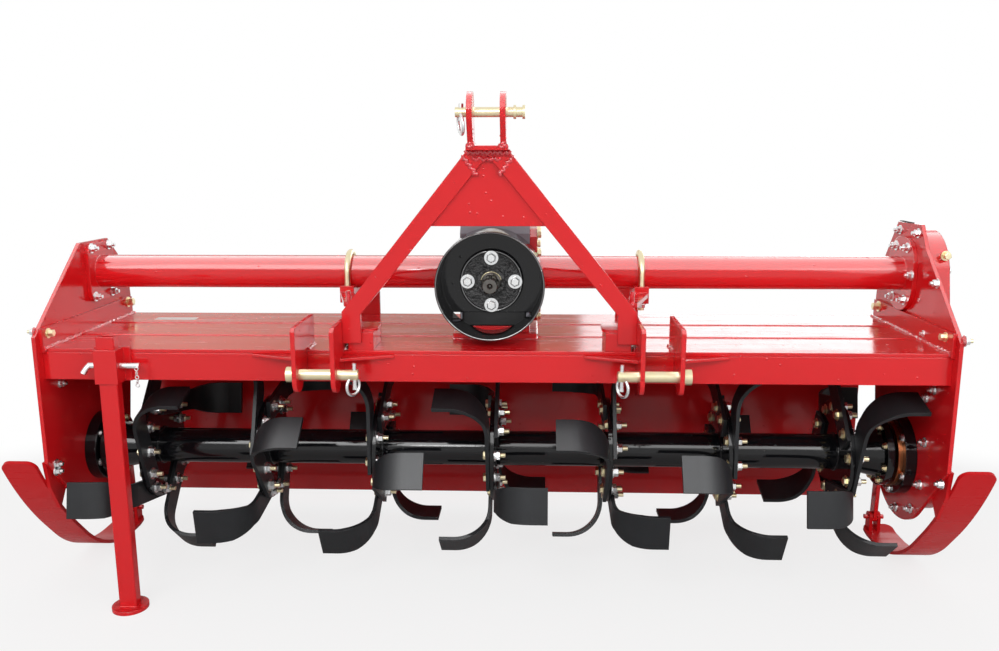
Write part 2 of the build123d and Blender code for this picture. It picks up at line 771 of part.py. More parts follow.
# how far up, and half the width there, from root to tip
blade_widths = (
    (-blade_root_drop, blade_shank_w / 2),
    (blade_top - blade_flare_low, blade_shank_w / 2),
    (blade_top - blade_flare_high, blade_tip_w / 2),
    (blade_top + blade_t / 2, blade_tip_w / 2),
)
with BuildPart() as blade:
    with BuildSketch(Plane.XZ.offset(blade_offset - blade_tip_w / 2)):
        with BuildLine() as bent:
            FilletPolyline((blade_mid, -blade_root_drop), (blade_mid, blade_top),
                           (flange_t / 2 + blade_reach, blade_top), radius=blade_bend_r)
        trace(bent.line, blade_t)
    extrude(amount=blade_tip_w)
    with BuildSketch(Plane.YZ):
        front = [(-blade_offset - half, up) for up, half in blade_widths]
        back = [(-blade_offset + half, up) for up, half in reversed(blade_widths)]
        with BuildLine():
            Polyline(*front, *back, close=True)
        make_face()
    extrude(amount=flange_t + blade_reach, mode=Mode.INTERSECT)

bent_turn = {"left": 0.0, "right": 60.0}
for side, sign in side_sign.items():
    one = blade.part if sign > 0 else blade.part.mirror(Plane.YZ)
    with BuildPart() as blades:
        for step in range(flange_count):
            flange_x = (step - (flange_count - 1) / 2) * flange_pitch
            for turn in range(blades_per_side):
                lead = blade_lead_deg + blade_step_deg * step + bent_turn[side]
                angle = 90 + lead + turn * 360 / blades_per_side
                with Locations(Location((flange_x, rotor_y, rotor_z), (angle, 0, 0))):
                    add(one)
    save(blades, f"blades_{side}")

# Bearing rings on the side plates.
with BuildPart() as bearing_left:
    with BuildSketch(Plane.YZ.offset(-inner_half)):
        with Locations((rotor_y, rotor_z)):
            Circle(left_ring_r)
            Circle(journal_r + fit_gap, mode=Mode.SUBTRACT)
    extrude(amount=left_ring_t)
save(bearing_left, "bearing_left")

with BuildPart() as bearing_right:
    with BuildSketch(Plane.YZ.offset(inner_half - right_ring_t)):
        with Locations((rotor_y, rotor_z)):
            Circle(right_ring_r)
            Circle(journal_r + fit_gap, mode=Mode.SUBTRACT)
    extrude(amount=right_ring_t)
save(bearing_right, "bearing_right")

with BuildPart() as seal_ring:
    with BuildSketch(Plane.YZ.offset(inner_half - right_ring_t - seal_ring_t)):
        with Locations((rotor_y, rotor_z)):
            Circle(seal_ring_r)
            Circle(journal_r + fit_gap, mode=Mode.SUBTRACT)
    extrude(amount=seal_ring_t)
save(seal_ring, "seal_ring")

# =================================================================== skids
skid_in = plate_outer + skid_gap
strut_in = skid_in + strut_inset
# centre line of the runner, front tip to rear end
skid_line = (
    (plate_front - skid_nose, rotor_z + skid_tip_rise),
    (plate_front + skid_bend_back, rotor_z - skid_bend_drop),
    (rotor_y + skid_heel_back, skid_t / 2),
    (deck_rear - skid_kick_ahead, skid_t / 2),
    (deck_rear + skid_end_back, skid_t / 2 + skid_kick_rise),
)


def bends_that_fit(points, radii):
    """The bend radii, all smaller by one share where a leg is too short for its two bends."""
    legs = [Vector(*end) - Vector(*start) for start, end in zip(points, points[1:])]
    turns = [radians(before.get_angle(after)) for before, after in zip(legs, legs[1:])]
    taken = [0.0] + [radius * tan(turn / 2) for radius, turn in zip(radii, turns)] + [0.0]
    room = [leg.length / (a + b) for leg, a, b in zip(legs, taken, taken[1:])]
    return [radius * min(1.0, bend_room * min(room)) for radius in radii]


# spacer between side plate and skid, from (plate front in Y, rotor axis in Z)
spacer_outline = ((4, 34), (86, 34), (86, -30), (46, -86), (14, -25))
lug_y = deck_rear + lug_back
for side, sign in side_sign.items():
    with BuildPart() as skid:
        with BuildSketch(Plane.YZ.offset(skid_in)):
            with BuildLine() as runner:
                FilletPolyline(*skid_line, radius=bends_that_fit(skid_line, skid_bends))
            trace(runner.line, skid_t)
        extrude(amount=skid_w)
        tip_edges = skid.edges().filter_by(lambda edge: abs(edge.length - skid_t) < length_slack)
        fillet(tip_edges, skid_corner)
        with BuildSketch(Plane.YZ.offset(plate_outer)):
            with BuildLine():
                Polyline(*[(plate_front + dy, rotor_z + dz) for dy, dz in spacer_outline], close=True)
            make_face()
        extrude(amount=skid_gap)
        # Two lugs hold the strut's foot.
        for near in (strut_in - lug_gap - lug_t, strut_in + strut_t + lug_gap):
            with BuildSketch(Plane.YZ.offset(near)):
                with Locations((lug_y, lug_rise)):
                    Circle(lug_r)
                    Rectangle(2 * lug_r, lug_rise - skid_t / 2, align=(Align.CENTER, Align.MAX))
                    Circle(lug_pin_r + fit_gap, mode=Mode.SUBTRACT)
            extrude(amount=lug_t)
    placed = skid.part if sign > 0 else skid.part.mirror(Plane.YZ)
    with BuildPart() as placed_skid:
        add(placed)
    save(placed_skid, f"skid_{side}")

    # A strut carries the skid's rear from a block on the side plate.
    strut_top = (strut_y, deck_bottom - strut_top_drop)
    with BuildPart() as strut:
        with BuildSketch(Plane.YZ.offset(strut_in)):
            with Locations((lug_y, lug_rise)):
                Circle(strut_r)
            with Locations(strut_top):
                Circle(strut_r)
            make_hull()
        extrude(amount=strut_t)
        with BuildSketch(Plane.YZ.offset(plate_outer)):
            with Locations(strut_top):
                Rectangle(strut_block, strut_block)
        extrude(amount=strut_in - plate_outer)
        with BuildSketch(Plane.YZ.offset(strut_in - lug_gap - lug_t - pin_end)):
            with Locations((lug_y, lug_rise)):
                Circle(lug_pin_r)
        extrude(amount=strut_t + 2 * (lug_gap + lug_t + pin_end))
    placed = strut.part if sign > 0 else strut.part.mirror(Plane.YZ)
    with BuildPart() as placed_strut:
        add(placed)
    save(placed_strut, f"strut_{side}")

# ==================================================================== stand
# The leg stands where the blades leave a groove beside their flange.
sleeve_x = leg_tube / 2 + slide_gap + sleeve_wall
sleeve_y = leg_depth / 2 + slide_gap + sleeve_wall
stand_x = stand_inset - inner_half
stand_y = beam_front - spacer_t - sleeve_y
sleeve_top = deck_top + sleeve_rise
leg_top = sleeve_top + leg_above_sleeve
with BuildPart() as stand_sleeve:
    with BuildSketch(Plane.XY.offset(sleeve_top - sleeve_length)):
        with Locations((stand_x, stand_y)):
            Rectangle(2 * sleeve_x, 2 * sleeve_y)
            Rectangle(leg_tube + 2 * slide_gap, leg_depth + 2 * slide_gap, mode=Mode.SUBTRACT)
        with Locations((stand_x, beam_front)):
            Rectangle(2 * (sleeve_x + spacer_lip), spacer_t, align=(Align.CENTER, Align.MAX))
    extrude(amount=sleeve_length)
save(stand_sleeve, "stand_sleeve")

with BuildPart() as stand_pin:
    for sign, out in ((-1, stand_pin_tail), (1, stand_pin_grip)):
        with BuildSketch(Plane.YZ.offset(stand_x + sign * sleeve_x)):
            with Locations((stand_y, sleeve_top - sleeve_length / 2)):
                Circle(stand_pin_r)
        extrude(amount=sign * out)
save(stand_pin, "stand_pin")

with BuildPart() as stand_leg:
    with BuildSketch(Plane.XY):
        with Locations((stand_x, stand_y)):
            Circle(foot_r)
    extrude(amount=foot_t)
    with BuildSketch(Plane.XY.offset(foot_t)):
        with Locations((stand_x, stand_y)):
            RectangleRounded(leg_tube, leg_depth, leg_wall)
            Rectangle(leg_tube - 2 * leg_wall, leg_depth - 2 * leg_wall, mode=Mode.SUBTRACT)
    extrude(amount=leg_top - foot_t)
save(stand_leg, "stand_leg")

# ================================================================= tailgate
gate_half = inner_half - gate_gap
knuckle_pitch = 2 * (gate_half - knuckle_inset) / (knuckle_count - 1)
hinge_y = deck_rear + hinge_gap + hinge_r
hinge_z = deck_bottom - hinge_drop
knuckle_xs = [(step - (knuckle_count - 1) / 2) * knuckle_pitch for step in range(knuckle_count)]
knuckle_step = knuckle_w + knuckle_gap
with BuildPart() as frame_knuckles:
    for x in knuckle_xs:
        with BuildSketch(Plane.YZ.offset(x - knuckle_w / 2)):
            with Locations((hinge_y, hinge_z)):
                Circle(hinge_r)
                Rectangle(hinge_y - deck_rear, hinge_r, align=(Align.MAX, Align.CENTER))
                Circle(hinge_rod_r + fit_gap, mode=Mode.SUBTRACT)
        extrude(amount=knuckle_w)
save(frame_knuckles, "frame_knuckles")

with BuildPart() as hinge_rod:
    with BuildSketch(Plane.YZ.offset(-gate_half)):
        with Locations((hinge_y, hinge_z)):
            Circle(hinge_rod_r)
    extrude(amount=2 * gate_half)
save(hinge_rod, "hinge_rod")

eye_y = hinge_y + eye_back
eye_z = hinge_z - eye_drop
gate_line = (
    (hinge_y + hinge_r - gate_t / 2 + gate_sink, hinge_z),
    (hinge_y + gate_bulge, hinge_z - gate_drop_high),
    (hinge_y + gate_low_bulge, hinge_z - gate_drop_low),
    (hinge_y + gate_low_bulge + lip_out, hinge_z - gate_drop_low - lip_down),
)
with BuildPart() as tailgate:
    with BuildSketch(Plane.YZ.offset(-gate_half)):
        with BuildLine() as fold:
            FilletPolyline(*gate_line, radius=gate_bends)
        trace(fold.line, gate_t)
    extrude(amount=2 * gate_half)
    # Notches leave the frame's knuckles free.
    for x in knuckle_xs:
        with BuildSketch(Plane.YZ.offset(x - knuckle_w / 2 - knuckle_gap)):
            with Locations((hinge_y, hinge_z)):
                Circle(hinge_r + hinge_gap)
        extrude(amount=knuckle_w + 2 * knuckle_gap, mode=Mode.SUBTRACT)
        for near in (x - knuckle_step - knuckle_w / 2, x + knuckle_step - knuckle_w / 2):
            with BuildSketch(Plane.YZ.offset(near)):
                with Locations((hinge_y, hinge_z)):
                    Circle(hinge_r)
            extrude(amount=knuckle_w)
    # Lugs for the eyes of the two spring rods.
    for sign in (-1, 1):
        for out in (-1, 1):
            near = sign * rod_x + out * (eye_w / 2 + eye_gap) - (lug_t if out < 0 else 0)
            with BuildSketch(Plane.YZ.offset(near)):
                with Locations((eye_y, eye_z)):
                    Circle(eye_r)
                    Rectangle(eye_back - gate_bulge - lug_sink, 2 * eye_r, align=(Align.MAX, Align.CENTER))
                    Circle(eye_pin_r + fit_gap, mode=Mode.SUBTRACT)
            extrude(amount=lug_t)
    with BuildSketch(Plane.YZ.offset(-gate_half)):
        with Locations((hinge_y, hinge_z)):
            Circle(hinge_rod_r + slide_gap)
    extrude(amount=2 * gate_half, mode=Mode.SUBTRACT)
save(tailgate, "tailgate")

with BuildPart() as eye_pins:
    for sign in (-1, 1):
        pin_half = eye_w / 2 + eye_gap + lug_t + eye_pin_end
        with BuildSketch(Plane.YZ.offset(sign * rod_x - pin_half)):
            with Locations((eye_y, eye_z)):
                Circle(eye_pin_r)
        extrude(amount=2 * pin_half)
save(eye_pins, "eye_pins")

# Spring rods: pinned to the gate, they slide in slotted guides on the deck.
guide_y = hinge_y + guide_back
guide_z = deck_top + guide_rise
rod_lean = atan2(eye_y - guide_y, guide_z - eye_z)
rod_span = hypot(eye_y - guide_y, guide_z - eye_z)
washer_at = rod_span + guide_t / 2 / cos(rod_lean) + collar_r * sin(rod_lean) / cos(rod_lean) + fit_gap
rod_end = rod_span + rod_above
for side, sign in side_sign.items():
    along = Vector(0, -sin(rod_lean), cos(rod_lean))
    eye = Vector(sign * rod_x, eye_y, eye_z)

    def station(distance):
        """The plane across the rod at this distance from its eye."""
        return Plane(origin=eye + along * distance, z_dir=along, x_dir=(1, 0, 0))

    # The rod, its three collars and its end are one turned profile.
    with BuildPart() as turned_rod:
        with BuildSketch(Plane.XZ):
            rod_profile = [(0, rod_foot), (gate_rod_r, rod_foot)]
            for at in (spring_start - collar_t, spring_start + spring_length, washer_at):
                rod_profile += [(gate_rod_r, at), (collar_r, at)]
                rod_profile += [(collar_r, at + collar_t), (gate_rod_r, at + collar_t)]
            rod_profile += [(gate_rod_r, rod_end), (0, rod_end)]
            with BuildLine():
                Polyline(*rod_profile, close=True)
            make_face()
        revolve(axis=Axis.Z)
    with BuildPart() as gate_rod:
        with BuildSketch(Plane.YZ.offset(sign * rod_x - eye_w / 2)):
            with Locations((eye_y, eye_z)):
                Circle(eye_r)
                Circle(eye_pin_r + fit_gap, mode=Mode.SUBTRACT)
        extrude(amount=eye_w)
        with Locations(station(0)):
            add(turned_rod.part)
        with BuildSketch(station(washer_at + collar_t)):
            RegularPolygon(rod_nut_r, 6)
        extrude(amount=2 * collar_t)
    save(gate_rod, f"gate_rod_{side}")

    # The spring's solid has one bulge for each turn of its wire.
    with BuildPart() as spring:
        pitch = spring_length / spring_turns
        with BuildSketch(Plane.XZ):
            with BuildLine():
                Line((gate_rod_r + fit_gap, 0), (spring_r - pitch / 4, 0))
                for turn in range(spring_turns):
                    ThreePointArc((spring_r - pitch / 4, turn * pitch), (spring_r, (turn + 0.5) * pitch),
                                  (spring_r - pitch / 4, (turn + 1) * pitch))
                Line((spring_r - pitch / 4, spring_length), (gate_rod_r + fit_gap, spring_length))
                Line((gate_rod_r + fit_gap, spring_length), (gate_rod_r + fit_gap, 0))
            make_face()
        revolve(axis=Axis.Z)
    with BuildPart() as placed_spring:
        with Locations(station(spring_start)):
            add(spring.part)
    save(placed_spring, f"spring_{side}")

with BuildPart() as rod_guides:
    for sign in (-1, 1):
        with BuildSketch(Plane.YZ.offset(sign * rod_x - guide_w / 2)):
            with BuildLine():
                Polyline(
                    (deck_rear, deck_top), (deck_rear, guide_z - guide_t / 2),
                    (guide_y + guide_slot / 2 + guide_lip, guide_z - guide_t / 2),
                    (guide_y + guide_slot / 2 + guide_lip, guide_z + guide_t / 2),
                    (deck_rear - guide_t, guide_z + guide_t / 2), (deck_rear - guide_t, deck_top),
                    close=True,
                )
            make_face()
        extrude(amount=guide_w)
        with BuildSketch(Plane.XY.offset(guide_z - guide_t / 2)):
            with Locations((sign * rod_x, guide_y)):
                SlotOverall(guide_slot, guide_slot_w, rotation=90)
        extrude(amount=guide_t, mode=Mode.SUBTRACT)
save(rod_guides, "rod_guides")
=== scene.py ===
# %% [markdown]
# # A rotary tiller in red enamel
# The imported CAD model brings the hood, the reel of blades and the hitch, each at its real place.
# This lesson adds what a paint shop and a fitter add: finishes, bolts and nuts, weld beads,
# springs, linch pins and the splined shaft. It starts by loading that fixed frame.

# %% Load the frame
from functools import partial
import json
import math
import bpy
import bmesh
from mathutils import Matrix, Vector


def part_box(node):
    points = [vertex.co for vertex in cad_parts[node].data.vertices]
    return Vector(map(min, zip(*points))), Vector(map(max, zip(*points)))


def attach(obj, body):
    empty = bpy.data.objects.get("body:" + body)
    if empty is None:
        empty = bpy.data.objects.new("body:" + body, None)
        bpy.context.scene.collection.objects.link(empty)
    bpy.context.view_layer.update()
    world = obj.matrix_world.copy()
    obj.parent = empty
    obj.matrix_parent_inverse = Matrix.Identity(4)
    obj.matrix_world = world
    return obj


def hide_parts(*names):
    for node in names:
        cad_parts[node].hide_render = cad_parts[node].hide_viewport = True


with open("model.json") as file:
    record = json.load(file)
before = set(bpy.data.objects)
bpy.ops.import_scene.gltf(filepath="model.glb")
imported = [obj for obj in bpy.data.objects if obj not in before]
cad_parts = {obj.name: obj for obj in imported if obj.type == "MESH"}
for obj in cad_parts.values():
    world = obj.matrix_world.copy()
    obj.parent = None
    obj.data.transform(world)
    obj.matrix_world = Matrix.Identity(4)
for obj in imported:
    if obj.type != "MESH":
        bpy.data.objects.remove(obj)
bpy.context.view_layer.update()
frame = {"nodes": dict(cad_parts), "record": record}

# %% [markdown]
# Blender counts in metres and the workshop in millimetres. Four helpers keep the numbers below
# readable: one turns a place in millimetres to metres, two read the middle and the corners of a
# CAD node's box, and one walks round an axis along X.

# %% Units and places
def mm(*numbers):
    """A place in millimetres, as a vector in metres."""
    return Vector(numbers) / 1000


def middle(node):
    """The middle of a CAD node's box, in millimetres."""
    low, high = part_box(node)
    return (low + high) * 500


def corners(node):
    """The lowest and highest corners of a CAD node's box, in millimetres."""
    return [corner * 1000 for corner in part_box(node)]


def around(centre, radius, angle):
    """The Y and Z of a point on a circle about an axis along X."""
    return centre.y + radius * math.cos(angle), centre.z + radius * math.sin(angle)


rotor = middle("rotor_tube")
tube = middle("cross_tube_left")
deck_low, deck_high = corners("deck")
print("rotor axis at Y, Z:", round(rotor.y), round(rotor.z))
print("cross tubes at Y, Z:", round(tube.y), round(tube.z))

# %% [markdown]
# ## Finishes
# Colours are written as on a paint card, in sRGB hex, and one function turns them to the linear
# light that Cycles works in. A second one adds a node with its settings and links. The short ones
# after it are steps that every finish needs, with their sizes in millimetres.

# %% Colour and node helpers
def linear(code):
    """A hex colour as linear red, green, blue and alpha."""
    parts = [int(code[i:i + 2], 16) / 255 for i in (1, 3, 5)]
    return tuple(c / 12.92 if c < 0.04045 else ((c + 0.055) / 1.055) ** 2.4 for c in parts) + (1.0,)


def add(tree, kind, inputs=(), **settings):
    """Add one node. An input is a number, a colour, a socket, or a node for its first output."""
    made = tree.nodes.new(kind)
    for name, value in settings.items():
        setattr(made, name, value)
    for key, value in dict(inputs).items():
        if isinstance(value, bpy.types.Node):
            value = value.outputs[0]
        if isinstance(value, bpy.types.NodeSocket):
            tree.links.new(value, made.inputs[key])
        else:
            made.inputs[key].default_value = value
    return made


def new_finish(name):
    """An empty material, how to add a node to it, and where a point lies on the object."""
    finish = bpy.data.materials.new(name)
    finish.use_nodes = True
    finish.node_tree.nodes.clear()
    node = partial(add, finish.node_tree)
    return finish, node, node("ShaderNodeTexCoord").outputs["Object"]


def mixed(node, share, first, second):
    """A colour between two hex colours."""
    mix = node("ShaderNodeMix", {0: share, 6: linear(first), 7: linear(second)}, data_type="RGBA")
    return mix.outputs[2]


def noise(node, place, size, detail, **more):
    """A noise texture with a grain of so many millimetres."""
    return node("ShaderNodeTexNoise", {
        "Vector": place, "Scale": per_metre(size), "Detail": detail, **more})


def ramp(node, value, low, high, first, second, **settings):
    """A value moved from one range to another."""
    return node("ShaderNodeMapRange", {0: value, 1: low, 2: high, 3: first, 4: second}, **settings)


def bumped(node, height, depth, normal):
    """A bump so many millimetres deep, on top of another normal."""
    return node("ShaderNodeBump", {
        "Height": height, "Distance": depth / 1000, "Strength": 1.0, "Normal": normal})


def total_of(node, operation, first, second=0.0):
    """One sum of two values."""
    return node("ShaderNodeMath", {0: first, 1: second}, operation=operation)


def soft_edges(node, radius):
    """A normal that rounds the edges by so many millimetres."""
    return node("ShaderNodeBevel", {"Radius": radius / 1000}, samples=4)


def per_metre(size):
    """The texture scale that repeats a pattern every so many millimetres."""
    return 1000 / size


print("white is", linear("#FFFFFF")[:3])

# %% [markdown]
# ### Gloss red enamel
# The hood is sprayed with a thick two-coat enamel over welded plate. It flows round the edges,
# so they catch the light as a thin pale line, and it dries with a faint orange peel. Pressed
# plate is never quite flat: a slow wave bends what it mirrors. Dust dulls the gloss in patches, and
# wiping leaves faint lanes on what faces up. The skids are duller, since they run on the ground.

# %% Gloss red enamel
def sprayed(name, deep, light, gloss, wave_depth, edge, peel_depth=0.06, coat=0.0, coat_ior=1.5,
            ior=1.42):
    """A sprayed enamel: close colours, uneven gloss, orange peel, waves, spatter, soft edges."""
    finish, node, place = new_finish(name)
    colour = mixed(node, noise(node, place, 220, 3.0), deep, light)
    dust = noise(node, place, 38, 6.0, Roughness=0.7)
    dull = ramp(node, dust, 0.42, 0.78, gloss, gloss + 0.12)
    lane = node("ShaderNodeMapping", {"Vector": place, "Scale": (0.04, 1.0, 1.0)})
    streak = ramp(node, noise(node, lane, 11, 3.0), 0.54, 0.7, 0.0, 0.2)
    normal = node("ShaderNodeNewGeometry").outputs["Normal"]
    upward = node("ShaderNodeSeparateXYZ", {0: normal}).outputs["Z"]
    dull = node("ShaderNodeMath", {0: streak, 1: upward, 2: dull},
                operation="MULTIPLY_ADD", use_clamp=True)
    stretch = node("ShaderNodeMapping", {"Vector": place, "Scale": (0.25, 1.0, 1.0)})
    slow = bumped(node, noise(node, stretch, 70, 1.0), wave_depth, soft_edges(node, edge))
    skin = bumped(node, noise(node, place, 5, 2.0), peel_depth, slow)
    drops = node("ShaderNodeTexVoronoi", {
        "Vector": place, "Scale": per_metre(26), "Randomness": 1.0})
    skin = bumped(node, ramp(node, drops, 0.10, 0.04, 0.0, 1.0), 0.8, skin)
    paint = node("ShaderNodeBsdfPrincipled", {
        "Base Color": colour, "Roughness": dull, "IOR": ior, "Normal": skin,
        "Coat Weight": coat, "Coat Roughness": 0.05, "Coat IOR": coat_ior, "Coat Normal": skin})
    node("ShaderNodeOutputMaterial", {"Surface": paint})
    return finish


red, black = ("#C01318", "#CC1A1F"), ("#0B0B0D", "#121215")
red_enamel = sprayed("gloss_red_enamel", *red, 0.12, 1.3, 3.2)
tube_enamel = sprayed("thick_gloss_red_enamel", *red, 0.08, 0.8, 3.2, coat=0.35)
bead_enamel = sprayed("red_enamel_on_weld", "#C0131B", "#C8303A", 0.05, 0.0, 0.3,
                      peel_depth=0.9, coat=1.0)
skid_enamel = sprayed("satin_red_enamel", *red, 0.3, 0.8, 2.0, ior=1.22)
black_enamel = sprayed("gloss_black_enamel", *black, 0.05, 0.9, 3.0)
bead_black = sprayed("gloss_black_on_a_rim", *black, 0.03, 0.0, 0.3, coat=1.0, coat_ior=2.2)
print("made", [m.name for m in (red_enamel, tube_enamel, skid_enamel, black_enamel)])

# %% [markdown]
# ### Satin paint on spring steel
# Blades are hot-pressed from spring steel and dipped in thin dark grey paint. The forge scale
# under it shows as a fine grain, and the paint is satin, so a blade shades softly along its bend.

# %% Blade paint
blade_paint, node, place = new_finish("satin_dark_blade_paint")
forge_scale = noise(node, place, 3, 5.0)
dip = node("ShaderNodeBsdfPrincipled", {
    "Base Color": mixed(node, noise(node, place, 45, 3.0), "#101113", "#1D1F22"), "IOR": 1.38,
    "Roughness": ramp(node, forge_scale, 0.0, 1.0, 0.32, 0.52),
    "Normal": bumped(node, forge_scale, 0.12, soft_edges(node, 1.2))})
node("ShaderNodeOutputMaterial", {"Surface": dip})
print("made", blade_paint.name)

# %% [markdown]
# ### Plated and bare metals
# Hitch pins and U-bolts are zinc plated and passivated yellow: a pale gold that drifts towards
# pink and green. Nuts are clear zinc, nearly white. The ring behind the hub is turned copper
# alloy and the input shaft is machined steel under oil. Each is a metal with two close colours,
# a tool grain and its own roughness, so one recipe serves them all. The real grain is a tenth of
# a millimetre. Here it is over one, so that it shows.

# %% Metals
def plated(name, first, second, patch, grain, rough, bump):
    """A metal whose colour drifts between two tones, with a fine grain in its surface."""
    finish, node, place = new_finish(name)
    fine = noise(node, place, grain, 3.0)
    metal = node("ShaderNodeBsdfPrincipled", {
        "Base Color": mixed(node, noise(node, place, patch, 2.0), first, second), "Metallic": 1.0,
        "Roughness": ramp(node, fine, 0.0, 1.0, rough - 0.07, rough + 0.09),
        "Normal": bumped(node, fine, bump, soft_edges(node, 0.6))})
    node("ShaderNodeOutputMaterial", {"Surface": metal})
    return finish


yellow_zinc = plated("yellow_zinc_plate", "#E6D9A8", "#EFE3C6", 14, 1.5, 0.30, 0.02)
clear_zinc = plated("clear_zinc_plate", "#D3D6DA", "#F1F1EE", 9, 1.5, 0.26, 0.02)
copper = plated("turned_copper_ring", "#B4603A", "#D28A5E", 20, 1.2, 0.28, 0.02)
machined_steel = plated("oiled_machined_steel", "#55534F", "#716E6B", 12, 1.0, 0.34, 0.02)
spring_coat = sprayed("black_spring_coat", "#111113", "#1B1B1E", 0.3, 0.05, 0.5)
print("made", [m.name for m in (yellow_zinc, clear_zinc, copper, machined_steel, spring_coat)])

# %% [markdown]
# ### Castings, rubber and vinyl
# The gearbox is grey iron cast in sand, painted thin: the sand leaves a grain about a millimetre
# across, drawn here at two and a half so that it shows. Its lower half is black. Its front cap is
# glossy, with slow dents that scatter what it mirrors. A paper gasket and a blank vinyl label
# complete the set.

# %% Castings, gasket and label
def cast(name, dark, pale, grain, depth, rough):
    """Painted sand casting: speckled tone and a coarse grain that breaks up the light."""
    finish, node, place = new_finish(name)
    sand = noise(node, place, grain, 5.0, Roughness=0.65)
    body = node("ShaderNodeBsdfPrincipled", {
        "Base Color": mixed(node, noise(node, place, 50, 3.0), dark, pale), "Roughness": rough,
        "Normal": bumped(node, sand, depth, soft_edges(node, 2))})
    node("ShaderNodeOutputMaterial", {"Surface": body})
    return finish


grey_casting = cast("grey_painted_casting", "#85838C", "#9C9AA2", 2.5, 0.35, 0.5)
black_casting = cast("black_painted_casting", "#0E0E0F", "#1A1A1C", 2.5, 0.3, 0.4)
gasket_paper = cast("gasket_paper", "#232120", "#35322F", 2.0, 0.2, 0.85)
cap_black = cast("gloss_cast_black", "#08080A", "#0D0D10", 14.0, 6.5, 0.08)
label_vinyl = cast("blank_label_vinyl", "#EFEDEA", "#FAF9F6", 30.0, 0.03, 0.55)
print("made", [m.name for m in (grey_casting, black_casting, gasket_paper, label_vinyl)])

# %% [markdown]
# ### Dress the CAD nodes
# Every node names a material slot in the record. One table turns those names to the finishes
# above, and the few nodes that look different from their slot follow by name.

# %% Dress the CAD nodes
finish_of = {"red_enamel": red_enamel, "black_enamel": black_enamel, "blade_steel": blade_paint,
             "yellow_zinc": yellow_zinc, "grey_iron": grey_casting, "bronze": copper,
             "bare_steel": machined_steel, "spring_steel": spring_coat}
for part in frame["record"]["subparts"]:
    mesh = frame["nodes"][part["node"]].data
    mesh.materials.clear()
    mesh.materials.append(finish_of[part["material_slot"]])
own_finish = {"stand_pin": clear_zinc, "hinge_rod": clear_zinc, "bearing_cap": cap_black,
              "cross_tube_left": tube_enamel, "cross_tube_right": tube_enamel,
              "skid_left": skid_enamel, "skid_right": skid_enamel}
for name, finish in own_finish.items():
    frame["nodes"][name].data.materials[0] = finish

# %% [markdown]
# ## Camera, floor and light
# The camera stands 1.7 m in front of the hitch at chest height and looks slightly down, with a
# moderate wide lens. It is set early, so that every later step can be looked at.

# %% Camera
yaw, pitch, roll = 0.0388, 0.1957, -0.0025  # radians
eye = (0.09035, -1.9842, 0.9761)
level = math.cos(pitch)
forward = Vector((-math.sin(yaw) * level, math.cos(yaw) * level, -math.sin(pitch)))
right = Vector((math.cos(yaw), math.sin(yaw), 0))
up = right.cross(forward)
right, up = (right * math.cos(roll) + up * math.sin(roll),
             up * math.cos(roll) - right * math.sin(roll))
lens = bpy.data.cameras.new("camera")
lens.sensor_width, lens.lens = 36.0, 31.92
camera = bpy.data.objects.new("camera", lens)
camera.matrix_world = Matrix((right, up, -forward)).transposed().to_4x4()
camera.location = eye
bpy.context.scene.collection.objects.link(camera)
bpy.context.scene.camera = camera
print("camera at", [round(x, 2) for x in camera.location], "lens", lens.lens, "mm")

# %% [markdown]
# A studio sweep is one pale sheet: floor in front, curved up behind. Here the floor is a wide
# disc and the world stands for the rest of the sheet. Rays from the camera and mirror rays see
# it white, so the enamel has something bright to reflect. Other rays meet a softer grey, which
# keeps the light on the machine at a plain level.

# %% Floor and world
def placed_mesh(name, verts, faces, finish):
    """A mesh object at the origin, its points already in metres in the machine's frame."""
    mesh = bpy.data.meshes.new(name)
    mesh.from_pydata([tuple(v) for v in verts], [], faces)
    mesh.materials.append(finish)
    piece = bpy.data.objects.new(name, mesh)
    bpy.context.scene.collection.objects.link(piece)
    return piece


def white_rays(node):
    """The camera's rays, and all that should meet white: those, mirror rays and clear ones."""
    rays = node("ShaderNodeLightPath").outputs
    seen = total_of(node, "MAXIMUM", rays["Is Camera Ray"], rays["Is Glossy Ray"])
    return rays["Is Camera Ray"], total_of(node, "MAXIMUM", seen, rays["Is Transmission Ray"])


sweep, node, place = new_finish("pale_studio_floor")
seen, clear = white_rays(node)
matte = node("ShaderNodeBsdfDiffuse", {"Color": linear("#E0E0E0")})
paper = node("ShaderNodeEmission", {"Color": linear("#FFFFFF"), "Strength": 1.0})
oval = node("ShaderNodeMapping", {"Vector": place, "Scale": (0.55, 1.0, 1.0)})
away = node("ShaderNodeVectorMath", {0: oval}, operation="LENGTH").outputs["Value"]
fade = ramp(node, away, 0.55, 1.25, 0.0, 1.0, interpolation_type="SMOOTHSTEP")
late = ramp(node, away, 1.8, 2.8, 0.0, 1.0, interpolation_type="SMOOTHSTEP")
near_white = 0.78  # the rest is matte and keeps the machine's shadow
far = total_of(node, "MULTIPLY", fade, seen)
far = total_of(node, "MAXIMUM", far, total_of(node, "MULTIPLY", late, clear))
amount = total_of(node, "MAXIMUM", far, total_of(node, "MULTIPLY", seen, near_white))
blend = node("ShaderNodeMixShader", {0: amount, 1: matte, 2: paper})
node("ShaderNodeOutputMaterial", {"Surface": blend})
floor_radius, floor_sides = 9000, 64
floor_rim = [mm(floor_radius * math.cos(a), floor_radius * math.sin(a), 0)
             for a in (math.tau * i / floor_sides for i in range(floor_sides))]
placed_mesh("studio_floor", floor_rim, [list(range(floor_sides))], sweep)

